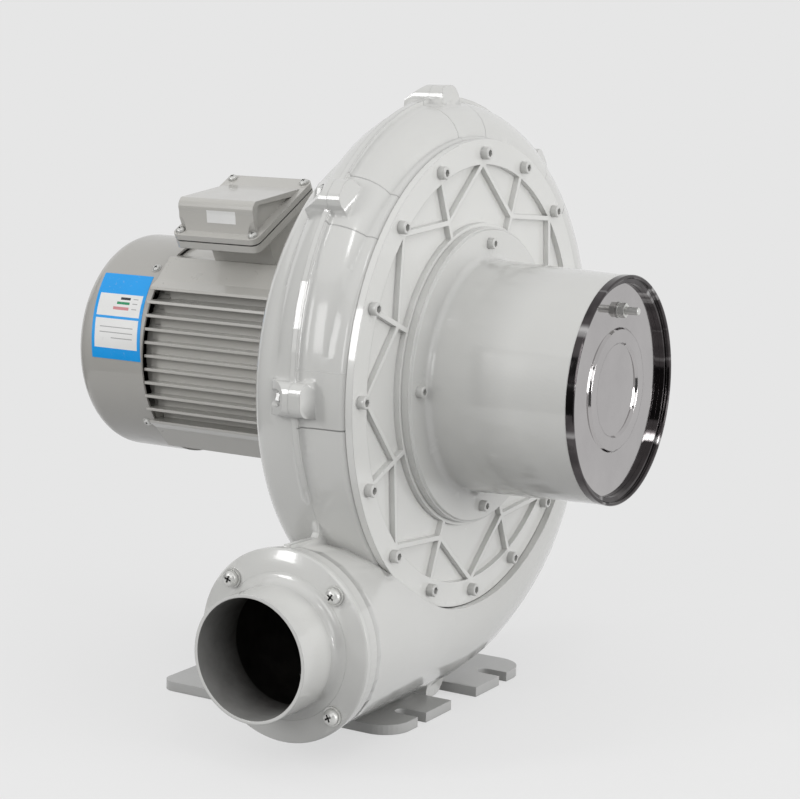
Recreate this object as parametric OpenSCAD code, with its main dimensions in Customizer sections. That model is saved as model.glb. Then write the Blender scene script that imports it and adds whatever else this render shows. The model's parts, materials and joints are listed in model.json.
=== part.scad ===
// Centrifugal fan with a direct-drive motor, closed inlet pipe and tangential outlet.
// +X runs along the shaft towards the inlet, the outlet faces -Y and +Z is up.
// The origin lies on the floor, under the shaft, in the plane where the casing halves meet.
// Clock angles are seen from the inlet: 0 is the top and positive angles run towards the outlet side, -Y.

/* [Casing] */
// Height of the shaft over the floor
shaft_h = 273; // [270:1:320]
// Radius of the round drum that holds the impeller
drum_r = 190; // [186:1:194]
// Depth of the casing from the joint plane to the seat of the inlet cover
front_depth = 37.5; // [34:0.5:44]
// Depth of the casing from the joint plane to the rear wall
rear_depth = 50; // [46:1:56]
// Wall thickness of the casing
case_wall = 6; // [4:0.5:7]
// Rounding of the drum's front edge
front_edge_r = 5; // [3:0.5:7]
// Rounding of the drum's rear edge
rear_edge_r = 20; // [12:1:24]
// Outer radius of the scroll at the top
scroll_top_r = 215; // [212:1:218]
// Growth of the scroll's outer radius per degree of turn
scroll_growth = 0.246; // [0.23:0.002:0.25]
// Half width of the scroll passage at the top
scroll_half_w = 33; // [31:1:36]
// How much wider each half of the passage is at the bottom
scroll_swell = 18; // [14:1:20]
// Height of the seam rib over the scroll
rib_h = 3.5; // [2:0.5:5]
// Thickness of the seam rib on each casing half
rib_t = 4.5; // [2:0.5:5]
// Height of the clamping lugs over the scroll
lug_h = 13; // [12:0.5:14]
// Length of the clamping lugs along the shaft, on each half
lug_t = 14; // [13:1:18]
// Radius of the clamping bolts
clamp_r = 3; // [2.5:0.5:3]

/* [Inlet cover] */
// Radius of the inlet cover
cover_r = 187; // [185:0.5:188]
// Thickness of the inlet cover
cover_t = 6; // [5:0.5:8]
// Depth of the ribbed field in the cover
field_depth = 4.5; // [2:0.5:4.5]
// Outer radius of the ribbed field
field_r = 167; // [164:0.5:168]
// Radius of the ring where the slanting ribs meet
rib_node_r = 134; // [130:1:140]
// Width of the cover's ribs
cover_rib_w = 4; // [2.5:0.5:5]
// Radius of the circle of cover screws
cover_screw_ring = 176; // [175:0.5:177]
// Number of cover screws
cover_screws_n = 16; // [8:4:16]
// Thread radius of the cover screws
cover_screw_r = 3; // [2.5:0.5:3]

/* [Inlet pipe] */
// Radius of the inlet pipe at its mouth
inlet_r = 88.8; // [84:0.2:92]
// How much wider the inlet pipe is at its root
inlet_draft = 4; // [1:0.5:5]
// Wall thickness of the inlet pipe
inlet_wall = 4; // [3:0.5:5]
// Length of the inlet pipe from the front of the cover
inlet_len = 123; // [90:1:150]
// Radius of the inlet pipe's flange
inlet_flange_r = 119; // [116:0.5:122]
// Thickness of the inlet pipe's flange
inlet_flange_t = 8; // [6:0.5:10]
// Radius of the circle of flange screws
inlet_screw_ring = 105.6; // [104:0.2:107]
// Width of the polished band at the mouth
band_w = 6.4; // [5:0.2:8]
// Depth of the closing disc inside the mouth
cap_depth = 7.7; // [6:0.1:9]
// How far the cap's skirt reaches into the pipe
cap_skirt = 34; // [28:1:40]
// Distance of the cap's stud above the shaft axis
stud_up = 62; // [56:1:66]

/* [Impeller] */
// Radius of the impeller
wheel_r = 154; // [140:1:158]
// Radius of the impeller's eye
eye_r = 70; // [64:1:74]
// Depth of the impeller at its rim
wheel_rim_w = 22; // [18:1:24]
// Depth of the impeller at its eye
wheel_eye_w = 36; // [32:1:38]
// Number of blades
blades_n = 12; // [8:1:14]
// Thickness of one blade
blade_t = 2.5; // [2:0.25:3]
// Thickness of the back plate and the shroud
plate_t = 2.5; // [2:0.25:3]

/* [Outlet] */
// Height of the outlet's centre below the shaft
outlet_drop = 183; // [180:1:185]
// Distance from the shaft plane to the front of the outlet flange
outlet_reach = 207.5; // [204:0.5:215]
// Outer radius of the outlet pipe
outlet_r = 48.1; // [44:0.1:50]
// Wall thickness of the outlet pipe
outlet_wall = 2.6; // [2:0.1:4]
// Length of the outlet pipe in front of its flange
outlet_len = 43.4; // [30:0.2:60]
// Radius of the outlet flange
outlet_flange_r = 73.7; // [73:0.1:76]
// Thickness of the outlet flange
outlet_flange_t = 5.5; // [4.5:0.5:8]
// Half the distance between neighbouring outlet screws
outlet_screw_half = 45.3; // [44.5:0.1:46]

/* [Motor] */
// Radius of the motor frame
motor_r = 88; // [86:0.5:90]
// Position of the motor frame's front end behind the joint plane
motor_front = 64; // [63:1:68]
// Length of the motor frame
motor_len = 158; // [150:1:170]
// Pitch of the cooling fins
fin_pitch = 11.2; // [10:0.2:11.4]
// Thickness of a cooling fin
fin_t = 2.4; // [2:0.2:3.2]
// Number of cooling fins on each side
fins_n = 11; // [7:2:11]
// How far the outermost fins fall back from the middle ones
fin_fall = 8; // [2:1:10]
// Depth of the grooves between the fins
groove_depth = 9; // [8:0.5:12]
// Radius of the stator core
stator_r = 70; // [68:0.5:71]
// Radius of the rotor core
rotor_r = 42; // [38:0.5:44]
// Air gap between rotor and stator
air_gap = 0.6; // [0.4:0.1:1]
// Radius of the fan cowl
cowl_r = 91.7; // [91:0.1:95]
// Length of the fan cowl
cowl_len = 74; // [64:1:84]
// Wall thickness of the fan cowl
cowl_wall = 1.8; // [1.2:0.2:2.4]
// Radius of the shaft in its bearings
shaft_r = 15; // [13:0.5:16]

/* [Terminal box] */
// Width of the terminal box along the shaft
box_w = 83; // [76:1:90]
// Length of the terminal box across the shaft
box_l = 94; // [88:1:100]
// Tilt of the terminal box towards the outlet side
box_tilt = 28.6; // [0:0.1:35]
// Distance of the box's joint face from the shaft axis
box_h = 130; // [122:1:136]
// Sideways offset of the box from the tilted centre line
box_side = 12; // [0:1:16]
// Distance of the box's centre behind the joint plane
box_back = 148; // [140:1:156]
// Height of the lid's hood
hood_h = 28; // [26:1:40]

/* [Base] */
// Thickness of the foot bars
foot_t = 8; // [6:0.5:10]
// Front end of the foot bars, from the joint plane
foot_front = 40.5; // [34:0.5:46]
// Length of the foot bars
foot_len = 226; // [210:1:240]
// Distance of the bars' inner edges from the shaft plane
foot_inner = 21; // [20:0.5:26]
// Width of one foot bar
foot_w = 90; // [84:1:96]
// Distance of the fixing holes from the shaft plane
foot_hole_y = 68; // [60:0.5:76]
// Radius of the fixing holes and half width of the slots
foot_hole_r = 6.5; // [5:0.5:8]

/* [Hidden] */

$fn = 96;
cast_color = "#c9cac5";
motor_color = "#b4b5b1";
steel_color = "#b9bcc0";
mirror_color = "#d8dadd";
zinc_color = "#dfe0dc";
dark_color = "#3a3c3e";
copper_color = "#b06a3a";
eps = 0.01;
tap_gap = 0.05;
hole_gap = 0.4;
seat_gap = 0.3;
run_gap = 0.05;

// Casing values
start_angle = 120;
end_angle = -180;
neck_steps = 10;
scroll_step = 5;
cavity_step = 7.5;
section_n = 12;
cavity_n = 8;
opening_r = cover_screw_ring - 12;
chamber_r = drum_r - case_wall;
lug_angles = [90, 45, 0, -45, -90, -135, -180];
lug_half = 15;
lug_round = 9;
lug_back = lug_t + 8;
lug_crown = [-5, lug_t - 3.5];
head_seat = 9;
front_rib_t = rib_t / 3;
clamp_lift = 5;
outlet_gasket_t = 1;
neck_end = outlet_reach - outlet_flange_t - outlet_gasket_t;
mouth_half = outlet_flange_r - 2;
outlet_tap = 9;
foot_pad_r = 13;
foot_pad_len = 16;
foot_pad_y = 62;
foot_pad_drop = [128, 158];
base_plate_x = -rear_depth - foot_pad_len;
base_plate_t = 9;
gusset_t = 8;
gusset_len = 82;
gusset_y = foot_pad_y + 17;
rear_hole_r = 24;
shield_ring = 99;
shield_bolt_r = 4;

// Cover values
cover_front = front_depth + cover_t;
cover_node_n = cover_screws_n / 2;
cover_bore = eye_r + 12;
cone_flange_r = cover_bore + 14;
register_t = 3;
m5_head = [4.25, 5];

// Inlet values
mouth_x = cover_front + inlet_len + band_w;
pipe_end = cover_front + inlet_len;
root_r = inlet_r + inlet_draft;
cap_disc_t = 1.5;
disc_front = mouth_x - cap_depth;
cap_gap = 0.4;
band_t = 1.6;
bead_out = 47;
bead_in = 37;
bead_h = 2;
stud_r = 3;
stud_len = 17;
nut_h = 5;
nut_across = 10;

// Impeller values
wheel_back = -22;
hub_len = 34;
hub_r = 30;
hub_bore = 12;
hub_front = wheel_back + hub_len;
collar_r = shaft_r + 3;
key_w = 6;
key_depth = 4;
inner_edge_r = 62;
blade_lean = 38;

// Motor values
motor_back = motor_front + motor_len;
end_gap = 6;
barrel_back = motor_back - end_gap;
recess_r = motor_r - 10;
fin_top = (fins_n - 1) / 2 * fin_pitch + fin_t / 2;
ledge = [motor_r - 17, fin_top + 5];
shoulder = [motor_r - 34, motor_r - 8];
shield_t = 12;
shield_screw_ring = stator_r + 3.5;
shield_screw_r = 2.5;
front_flange_r = shield_ring + 11;
front_flange_t = 7;
bearing_r = 31;
bearing_w = 16;
ball_r = 4.5;
race_mid = (bearing_r + shaft_r) / 2;
race_t = 4;
front_bearing_x = -(motor_front + 6);
rear_bearing_x = -barrel_back;
core_len = 84;
core_mid = -(motor_front + motor_len / 2);
winding_len = 20;
cowl_back = motor_back + cowl_len;
cowl_inner = cowl_r - cowl_wall;
cowl_lug_front = motor_back + seat_gap;
cowl_screw_r = 2;
cowl_screw_angles = [40.5, 129.5, 230.5, 319.5];
ear_len = 16;
fan_r = cowl_r - 14;
fan_bore = 9;

// Terminal box values
box_flange_t = 6;
box_neck_w = 60;
box_neck_l = 58;
box_neck_y = -18;
box_duct_y = 12;
box_wall = 4;
lid_flange_t = 5;
lid_wall = 3;
gasket_t = 1.5;
lid_screw_x = box_w / 2 - 6;
lid_screw_y = box_l / 2 - 6;
lid_screw_r = 2;
hood_edge = 5;
hood_round = 8;
hood_lean = 8;
hood_back = 15;
box_duct_r = 12;
box_floor = motor_r + 8 - box_h;
front_sink = 8;

// Places things on the shaft axis: local z is +X and clock() turns local x to a clock angle
module on_shaft(x = 0) {
    translate([x, 0, shaft_h]) rotate([0, 90, 0]) children();
}

module clock(angle, r = 0) {
    rotate([0, 0, 180 + angle]) translate([r, 0, 0]) children();
}

// Places things on the outlet axis: local z points out of the outlet, along -Y
module on_outlet(reach = 0) {
    translate([0, -reach, shaft_h - outlet_drop]) rotate([90, 0, 0]) children();
}

module on_box() {
    n = [0, -sin(box_tilt), cos(box_tilt)];
    t = [0, cos(box_tilt), sin(box_tilt)];
    translate([-box_back, 0, shaft_h] + box_h * n + box_side * t) rotate([box_tilt, 0, 0]) children();
}

// A plain ring or disc of revolution given by its inner and outer radius
module ring(r_in, r_out, h) {
    difference() {
        cylinder(r = r_out, h = h);
        translate([0, 0, -1]) cylinder(r = r_in, h = h + 2);
    }
}

// Socket-head screw: the head stands on z = 0 and the shank points down
module socket_screw(r, len, head) {
    difference() {
        union() {
            cylinder(r = head[0], h = head[1] - 0.6);
            translate([0, 0, head[1] - 0.6]) cylinder(r1 = head[0], r2 = head[0] - 0.6, h = 0.6);
            translate([0, 0, -len]) cylinder(r = r, h = len + eps);
        }
        translate([0, 0, head[1] - 3]) cylinder(r = head[0] * 0.52, h = 4, $fn = 6);
    }
}

// Hexagon, given by its width across the flats
module hexagon(across, h) {
    cylinder(r = across / 2 / cos(30), h = h, $fn = 6);
}

// Scroll geometry: outer radius, half height and half width of the passage at a clock angle
function smooth(t) = let (c = min(max(t, 0), 1)) c * c * (3 - 2 * c);
function outer_r(angle) = scroll_top_r - scroll_growth * angle;
function passage_half(angle) = 28 - (angle > 0 ? 0.105 : 0.17) * angle;
function passage_wide(angle) = scroll_half_w - 0.03 * max(angle, 0) + scroll_swell * min(max(-angle, 0) / 140, 1);

// One half section of the passage: points [x, r] from the outer seam over the side to the inner seam
function half_section(mid, high, wide, side, n) =
    [for (k = [0:n]) [side * wide * sin(180 * k / n), mid + high * cos(180 * k / n)]];

function scroll_ring(angle, cut, side, n) =
    let (high = passage_half(angle), mid = outer_r(angle) - high)
    [for (p = half_section(mid, high - cut, passage_wide(angle) - cut, side, n))
        [p[0], -p[1] * sin(angle), shaft_h + p[1] * cos(angle)]];

// The neck blends from the scroll's last section to a circle at the outlet flange
function neck_ring(t, reach, cut, side, n) =
    let (
        s = smooth(t),
        high = passage_half(end_angle) * (1 - s) + mouth_half * s,
        mid = (outer_r(end_angle) - passage_half(end_angle)) * (1 - s) + outlet_drop * s,
        wide = passage_wide(end_angle) * (1 - s) + mouth_half * s
    )
    [for (p = half_section(mid, high - cut, wide - cut, side, n)) [p[0], -reach, shaft_h - p[1]]];

function sweep_rings(cut, side, step, n, extra) = concat(
    [for (angle = [start_angle:-step:end_angle]) scroll_ring(angle, cut, side, n)],
    [for (k = [1:neck_steps]) neck_ring(k / neck_steps, neck_end * k / neck_steps, cut, side, n)],
    extra > 0 ? [neck_ring(1, neck_end + extra, cut, side, n)] : []
);

function flat(list) = [for (ring = list) for (p = ring) p];

function flip(faces, on) = on ? [for (f = faces) [for (k = [len(f) - 1:-1:0]) f[k]]] : faces;

function loft_faces(count, m) = concat(
    [[for (j = [0:m - 1]) j]],
    [for (i = [0:count - 2]) for (j = [0:m - 1]) [i * m + j, (i + 1) * m + j, i * m + (j + 1) % m]],
    [for (i = [0:count - 2]) for (j = [0:m - 1])
        [(i + 1) * m + j, (i + 1) * m + (j + 1) % m, i * m + (j + 1) % m]],
    [[for (j = [m - 1:-1:0]) (count - 1) * m + j]]
);

// Half of the scroll passage as a solid, grown by walls or cut back to the air space
module scroll_half(cut, side, step, n, extra) {
    rings = sweep_rings(cut, side, step, n, extra);
    polyhedron(points = flat(rings), faces = flip(loft_faces(len(rings), n + 1), side < 0));
}

// Outline of the seam rib in the joint plane as [y, z] from the shaft: it fades into the wall along the neck
function seam_outline(grow) = concat(
    [for (angle = [start_angle:-scroll_step:end_angle])
        [-(outer_r(angle) + grow) * sin(angle), (outer_r(angle) + grow) * cos(angle)]],
    [for (k = [1:neck_steps])
        let (s = smooth(k / neck_steps),
            rise = (grow + 1) * (1 - smooth(k / neck_steps / 0.3)) - 1,
            r = outer_r(end_angle) * (1 - s) + (outlet_drop + mouth_half) * s + rise)
        [-neck_end * k / neck_steps, -r]],
    [
        [-neck_end, -(outlet_drop - mouth_half - grow)],
        [-neck_end * 0.82, -(outlet_drop - mouth_half - grow) - 1],
        [-(drum_r + grow) * sin(start_angle + 3), (drum_r + grow) * cos(start_angle + 3)]
    ]
);

// Turns a drawing in [y, z] round the shaft into a slab along X
module slab(x, h) {
    translate([x, 0, shaft_h]) rotate([90, 0, 90]) linear_extrude(height = h) children();
}

// Outline of one clamping lug across the shaft: leaning sides and rounded shoulders
module lug_shape(angle) {
    r = outer_r(angle);
    top = r + lug_h - lug_round;
    side = lug_half - 2 - lug_round;
    rotate([0, 0, angle + 90]) polygon(concat(
        [[r - 2 * case_wall, -lug_half]],
        [for (a = [-90:15:0]) [top + lug_round * cos(a), -side + lug_round * sin(a)]],
        [for (a = [0:15:90]) [top + lug_round * cos(a), side + lug_round * sin(a)]],
        [[r - 2 * case_wall, lug_half]]
    ));
}

// Side view of a lug as [radius, x]: a level crown, a slope to the back and a steep front
module lug_side(angle) {
    r = outer_r(angle);
    on_shaft() rotate([90, 0, 180 + angle]) translate([0, 0, -lug_half - 1]) linear_extrude(height = 2 * lug_half + 2)
        polygon([
            [r - 2 * case_wall, -lug_back], [r + 1, -lug_back], [r + lug_h, lug_crown[0]],
            [r + lug_h, lug_crown[1]], [r - 2, lug_t], [r - 2 * case_wall, lug_t]
        ]);
}

module seam_rib(side) {
    rib = side > 0 ? front_rib_t : rib_t;
    reach = side > 0 ? lug_t : lug_back;
    slab(side > 0 ? 0 : -rib, rib) polygon(seam_outline(rib_h));
    for (angle = lug_angles) intersection() {
        slab(side > 0 ? 0 : -reach, reach) lug_shape(angle);
        lug_side(angle);
    }
}

module clamp_places() {
    for (angle = lug_angles) clock(angle, outer_r(angle) + clamp_lift) children();
}

module casing_blank(side) {
    scroll_half(0, side, scroll_step, section_n, 0);
    seam_rib(side);
    on_outlet(neck_end) rotate([0, 0, side > 0 ? -90 : 90]) rotate_extrude(angle = 180)
        translate([0, -outlet_tap - 1]) square([mouth_half + 0.5, outlet_tap + 1]);
}

module casing_air(side) {
    scroll_half(case_wall, side, cavity_step, cavity_n, 2);
}

// Drum profiles in [r, x]
module front_drum() {
    on_shaft() rotate_extrude() polygon(concat(
        [[0, 0], [drum_r, 0]],
        [for (a = [0:15:90]) [
            drum_r - 1 - front_edge_r + front_edge_r * cos(a),
            front_depth - front_edge_r + front_edge_r * sin(a)
        ]],
        [[0, front_depth]]
    ));
}

module rear_drum(cut, start) {
    round_r = rear_edge_r - cut;
    on_shaft() rotate_extrude() polygon(concat(
        [[0, start], [drum_r - cut, start]],
        [for (a = [0:15:90]) [
            drum_r - 2 - rear_edge_r + round_r * cos(a),
            -(rear_depth - rear_edge_r + round_r * sin(a))
        ]],
        [[0, cut - rear_depth]]
    ));
}

// Front half of the casing: drum, scroll, seam rib with lugs and the front of the outlet neck
module front_casing() {
    color(cast_color) difference() {
        union() {
            casing_blank(1);
            front_drum();
        }
        casing_air(1);
        on_shaft(-1) cylinder(r = chamber_r, h = front_depth - case_wall + 1);
        on_shaft() cylinder(r = opening_r, h = front_depth + 5);
        on_shaft(front_depth) cylinder(r = cover_r + hole_gap, h = 60);
        on_shaft(front_depth - 11.5) for (k = [0:cover_screws_n - 1])
            clock(k * 360 / cover_screws_n, cover_screw_ring) cylinder(r = cover_screw_r + tap_gap, h = 12);
        on_shaft(-1) clamp_places() cylinder(r = clamp_r + tap_gap, h = lug_crown[1] - 1);
        outlet_tappings();
    }
}

module outlet_tappings() {
    on_outlet(neck_end - outlet_tap) for (x = [-1, 1]) for (y = [-1, 1])
        translate([x * outlet_screw_half, y * outlet_screw_half, 0]) cylinder(r = 3 + tap_gap, h = outlet_tap + 3);
}

// Rear half of the casing: drum with the motor opening and the pads that carry the base
module rear_casing() {
    color(cast_color) difference() {
        union() {
            casing_blank(-1);
            rear_drum(0, 0);
            foot_pads() cylinder(r = foot_pad_r, h = foot_pad_len + case_wall);
        }
        casing_air(-1);
        rear_drum(case_wall, 1);
        on_shaft(-rear_depth - 1) cylinder(r = rear_hole_r, h = case_wall + 2);
        on_shaft(-rear_depth - 1) shield_bolt_places() cylinder(r = shield_bolt_r + tap_gap, h = case_wall + 2);
        foot_pads() translate([0, 0, foot_pad_len - 12]) cylinder(r = 4 + tap_gap, h = 30);
        on_shaft(-head_seat - 1) clamp_places() cylinder(r = clamp_r + hole_gap, h = head_seat + 2);
        on_shaft(-lug_back - 10) clamp_places() cylinder(r = 2 * clamp_r + 0.6, h = lug_back + 10 - head_seat);
        outlet_tappings();
    }
}

// The four places where the base is bolted on, with local z pointing backwards
module foot_pads() {
    for (y = [-1, 1]) for (drop = foot_pad_drop)
        translate([-rear_depth + case_wall, y * foot_pad_y, shaft_h - drop]) rotate([0, -90, 0]) children();
}

module shield_bolt_places() {
    for (k = [0:3]) clock(45 + k * 90, shield_ring) children();
}

// Bolts that clamp the casing halves: their heads sit in pockets of the rear lugs and the front lugs are tapped
module clamp_bolts() {
    color(zinc_color) on_shaft(-head_seat) clamp_places() {
        translate([0, 0, -4]) hexagon(clamp_r * 10 / 3, 4);
        translate([0, 0, -eps]) cylinder(r = clamp_r, h = head_seat + lug_crown[1] - 3);
    }
}

// Straight rib between two points given by clock angle and radius
module rib_between(a1, r1, a2, r2, w, h) {
    p1 = [r1 * cos(180 + a1), r1 * sin(180 + a1)];
    p2 = [r2 * cos(180 + a2), r2 * sin(180 + a2)];
    d = p2 - p1;
    translate([p1[0], p1[1], 0]) rotate([0, 0, atan2(d[1], d[0])])
        translate([0, -w / 2, 0]) cube([norm(d), w, h]);
}

// Cover with a sunk field, radial ribs and slanting ribs between its rim and the pipe flange
module inlet_cover() {
    pitch = 360 / cover_node_n;
    color(cast_color) on_shaft(front_depth) difference() {
        union() {
            cylinder(r = cover_r, h = cover_t - field_depth);
            translate([0, 0, -register_t]) ring(cone_flange_r + 1, opening_r - hole_gap, register_t + eps);
            ring(field_r, cover_r, cover_t);
            ring(cover_bore, inlet_flange_r + 2, cover_t);
            for (k = [0:cover_node_n - 1]) {
                mid = (k + 0.5) * pitch;
                rib_between(k * pitch, field_r + 1, mid, rib_node_r, cover_rib_w, cover_t);
                rib_between((k + 1) * pitch, field_r + 1, mid, rib_node_r, cover_rib_w, cover_t);
                rib_between(mid, inlet_flange_r, mid, field_r + 1, cover_rib_w, cover_t);
            }
        }
        translate([0, 0, -1]) cylinder(r = cover_bore, h = cover_t + 2);
        for (k = [0:cover_screws_n - 1]) clock(k * 360 / cover_screws_n, cover_screw_ring)
            translate([0, 0, -1]) cylinder(r = cover_screw_r + hole_gap, h = cover_t + 2);
        for (k = [0:3]) clock(k * 90, inlet_screw_ring)
            translate([0, 0, -1]) cylinder(r = 2.5 + tap_gap, h = cover_t + 2);
    }
}

module cover_screws() {
    color(cast_color) on_shaft(cover_front) for (k = [0:cover_screws_n - 1])
        clock(k * 360 / cover_screws_n, cover_screw_ring)
            socket_screw(cover_screw_r, cover_t + 10, [cover_screw_r * 5 / 3, 6]);
}

// Inlet pipe with its flange, root fillet and slight taper
module inlet_pipe() {
    fillet = 5;
    color(cast_color) on_shaft(cover_front) difference() {
        rotate_extrude() polygon(concat(
            [[root_r - inlet_wall, 0], [inlet_flange_r - 1, 0], [inlet_flange_r - 1, inlet_flange_t - 2],
                [inlet_flange_r - 2, inlet_flange_t - 2], [inlet_flange_r - 3, inlet_flange_t]],
            [for (a = [0:15:90]) [
                root_r + fillet - fillet * sin(a), inlet_flange_t + fillet - fillet * cos(a)
            ]],
            [[inlet_r, inlet_len], [inlet_r - inlet_wall, inlet_len]]
        ));
        for (k = [0:3]) clock(k * 90, inlet_screw_ring)
            translate([0, 0, -1]) cylinder(r = 2.5 + hole_gap, h = inlet_flange_t + 2);
    }
}

module inlet_flange_screws() {
    color(cast_color) on_shaft(cover_front + inlet_flange_t) for (k = [0:3])
        clock(k * 90, inlet_screw_ring) socket_screw(2.5, inlet_flange_t + cover_t - 1, [4.5, 5.5]);
}

// Bell that leads the air from the cover into the impeller's eye
module inlet_cone() {
    lip = 3;
    wall = 2;
    bend = 12;
    bell_len = 23;
    throat = eye_r - 4;
    inside = wall + bend;
    color(cast_color) on_shaft(front_depth) rotate_extrude() polygon(concat(
        [[cone_flange_r, 0], [cone_flange_r, -lip]],
        [for (a = [0:15:90]) [throat + wall + bend * (1 - sin(a)), -lip - bend * (1 - cos(a))]],
        [[throat + wall, -bell_len], [throat, -bell_len]],
        [for (a = [90:-15:0]) [throat + inside * (1 - sin(a)), -inside * (1 - cos(a))]]
    ));
}

// Polished cap: band on the pipe's end with a skirt inside the pipe, and the closing disc
module inlet_cap_band() {
    skirt_r = inlet_r - inlet_wall - cap_gap;
    color(mirror_color) on_shaft(pipe_end) rotate_extrude() polygon([
        [skirt_r - band_t, -cap_skirt], [skirt_r, -cap_skirt], [skirt_r, seat_gap / 3],
        [inlet_r + 0.4, seat_gap / 3], [inlet_r + 0.4, band_w - 0.8], [inlet_r - 0.4, band_w],
        [inlet_r - 1.6, band_w], [inlet_r - 2.4, band_w - 0.8], [inlet_r - 2.4, band_w - 3],
        [skirt_r - band_t, band_w - 3.6]
    ]);
}

module inlet_cap_disc() {
    rim = inlet_r - inlet_wall - cap_gap - band_t;
    color(mirror_color) on_shaft(disc_front - cap_disc_t) difference() {
        union() {
            cylinder(r = rim, h = cap_disc_t);
            rotate_extrude() polygon([
                [bead_in - 1.5, cap_disc_t / 2], [bead_in - 1.5, cap_disc_t], [bead_in, cap_disc_t + bead_h],
                [bead_out, cap_disc_t + bead_h], [bead_out + 1.5, cap_disc_t], [bead_out + 1.5, cap_disc_t / 2]
            ]);
        }
        clock(0, stud_up) translate([0, 0, -1]) cylinder(r = stud_r + hole_gap / 4, h = cap_disc_t + 2);
    }
}

module cap_stud() {
    color(steel_color) on_shaft(disc_front - cap_disc_t) clock(0, stud_up) {
        translate([0, 0, -3.5]) cylinder(r = 5.5, h = 3.5);
        translate([0, 0, -eps]) cylinder(r = stud_r, h = stud_len + cap_disc_t - 0.6);
        translate([0, 0, stud_len + cap_disc_t - 0.6 - 2 * eps])
            cylinder(r1 = stud_r, r2 = stud_r - 0.6, h = 0.6);
    }
}

module cap_nut() {
    color(steel_color) on_shaft(disc_front) clock(0, stud_up) difference() {
        union() {
            cylinder(r = 6.2, h = 1.2);
            translate([0, 0, 1.2 - eps]) hexagon(nut_across, nut_h);
        }
        translate([0, 0, -1]) cylinder(r = stud_r + tap_gap, h = nut_h + 4);
    }
}

// Outlet pipe with flange, bored straight through
module outlet_spigot() {
    fillet = 4;
    inner = outlet_r - outlet_wall;
    color(cast_color) on_outlet(neck_end + outlet_gasket_t) difference() {
        rotate_extrude() polygon(concat(
            [[inner, 0], [outlet_flange_r, 0], [outlet_flange_r, outlet_flange_t - 1.5],
                [outlet_flange_r - 1.5, outlet_flange_t]],
            [for (a = [0:15:90]) [
                outlet_r + fillet - fillet * sin(a), outlet_flange_t + fillet - fillet * cos(a)
            ]],
            [[outlet_r, outlet_flange_t + outlet_len], [inner, outlet_flange_t + outlet_len]]
        ));
        for (x = [-1, 1]) for (y = [-1, 1])
            translate([x * outlet_screw_half, y * outlet_screw_half, -1])
                cylinder(r = 3 + hole_gap, h = outlet_flange_t + 2);
    }
}

module outlet_gasket() {
    color(dark_color) on_outlet(neck_end) difference() {
        ring(outlet_r + 4, mouth_half - 0.5, outlet_gasket_t);
        for (x = [-1, 1]) for (y = [-1, 1])
            translate([x * outlet_screw_half, y * outlet_screw_half, -1]) cylinder(r = 3 + hole_gap, h = 4);
    }
}

// Hexagon washer-head screws with a cross recess
module outlet_screws() {
    color(zinc_color) on_outlet(outlet_reach) for (x = [-1, 1]) for (y = [-1, 1])
        translate([x * outlet_screw_half, y * outlet_screw_half, 0]) difference() {
            union() {
                cylinder(r = 7.5, h = 1.5);
                translate([0, 0, 1.5 - eps]) hexagon(10.5, 4.5);
                translate([0, 0, 6 - 2 * eps]) cylinder(r1 = 4.6, r2 = 3.4, h = 1);
                translate([0, 0, -outlet_flange_t - outlet_tap]) cylinder(r = 3, h = outlet_flange_t + outlet_tap + eps);
            }
            for (turn = [0, 90]) rotate([0, 0, turn]) translate([-2.6, -0.6, 4.6]) cube([5.2, 1.2, 4]);
        }
}

// One foot bar seen from above; side is the sign of Y
module foot_bar(side) {
    corner = 24;
    back = foot_front - foot_len;
    slot_end = foot_front - 24 + foot_hole_r;
    y1 = foot_inner;
    y2 = foot_inner + foot_w;
    linear_extrude(height = foot_t) scale([1, side]) difference() {
        polygon(concat(
            [[back + 12, y1], [foot_front, y1]],
            [for (a = [0:10:90]) [
                foot_front - corner + corner * cos(a), y2 - corner + corner * sin(a)
            ]],
            [for (a = [90:15:180]) [back + 12 + 12 * cos(a), y2 - 12 + 12 * sin(a)]],
            [for (a = [180:15:270]) [back + 12 + 12 * cos(a), y1 + 12 + 12 * sin(a)]]
        ));
        translate([slot_end, foot_hole_y]) circle(r = foot_hole_r);
        translate([slot_end, foot_hole_y - foot_hole_r]) square([40, 2 * foot_hole_r]);
        translate([back + 14, foot_hole_y]) circle(r = foot_hole_r);
    }
}

// Base: two foot bars, an upright plate behind the casing and gussets over the bars
module base_foot() {
    top = shaft_h - foot_pad_drop[0] + 14;
    color(cast_color) difference() {
        union() {
            for (side = [-1, 1]) {
                foot_bar(side);
                translate([0, side * gusset_y + gusset_t / 2, 0]) rotate([90, 0, 0]) linear_extrude(height = gusset_t)
                    polygon([
                        [base_plate_x, foot_t - 1], [base_plate_x, top - 50],
                        [base_plate_x - base_plate_t - 6, top - 54],
                        [base_plate_x - gusset_len, foot_t + 6], [base_plate_x - gusset_len, foot_t - 1]
                    ]);
            }
            translate([base_plate_x, 0, 0]) rotate([90, 0, -90]) linear_extrude(height = base_plate_t) polygon([
                [-foot_inner - foot_w + 12, foot_t - 1], [foot_inner + foot_w - 12, foot_t - 1],
                [foot_pad_y + 16, top - 6], [foot_pad_y + 10, top], [-foot_pad_y - 10, top],
                [-foot_pad_y - 16, top - 6]
            ]);
        }
        for (y = [-1, 1]) for (drop = foot_pad_drop)
            translate([base_plate_x + 1, y * foot_pad_y, shaft_h - drop]) rotate([0, -90, 0])
                cylinder(r = 4 + hole_gap, h = base_plate_t + 2);
    }
}

module base_bolts() {
    reach = base_plate_t + foot_pad_len - 2;
    color(zinc_color) for (y = [-1, 1]) for (drop = foot_pad_drop)
        translate([base_plate_x - base_plate_t, y * foot_pad_y, shaft_h - drop]) rotate([0, -90, 0]) {
            hexagon(13, 5.3);
            translate([0, 0, -reach]) cylinder(r = 4, h = reach + eps);
        }
}

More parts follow.
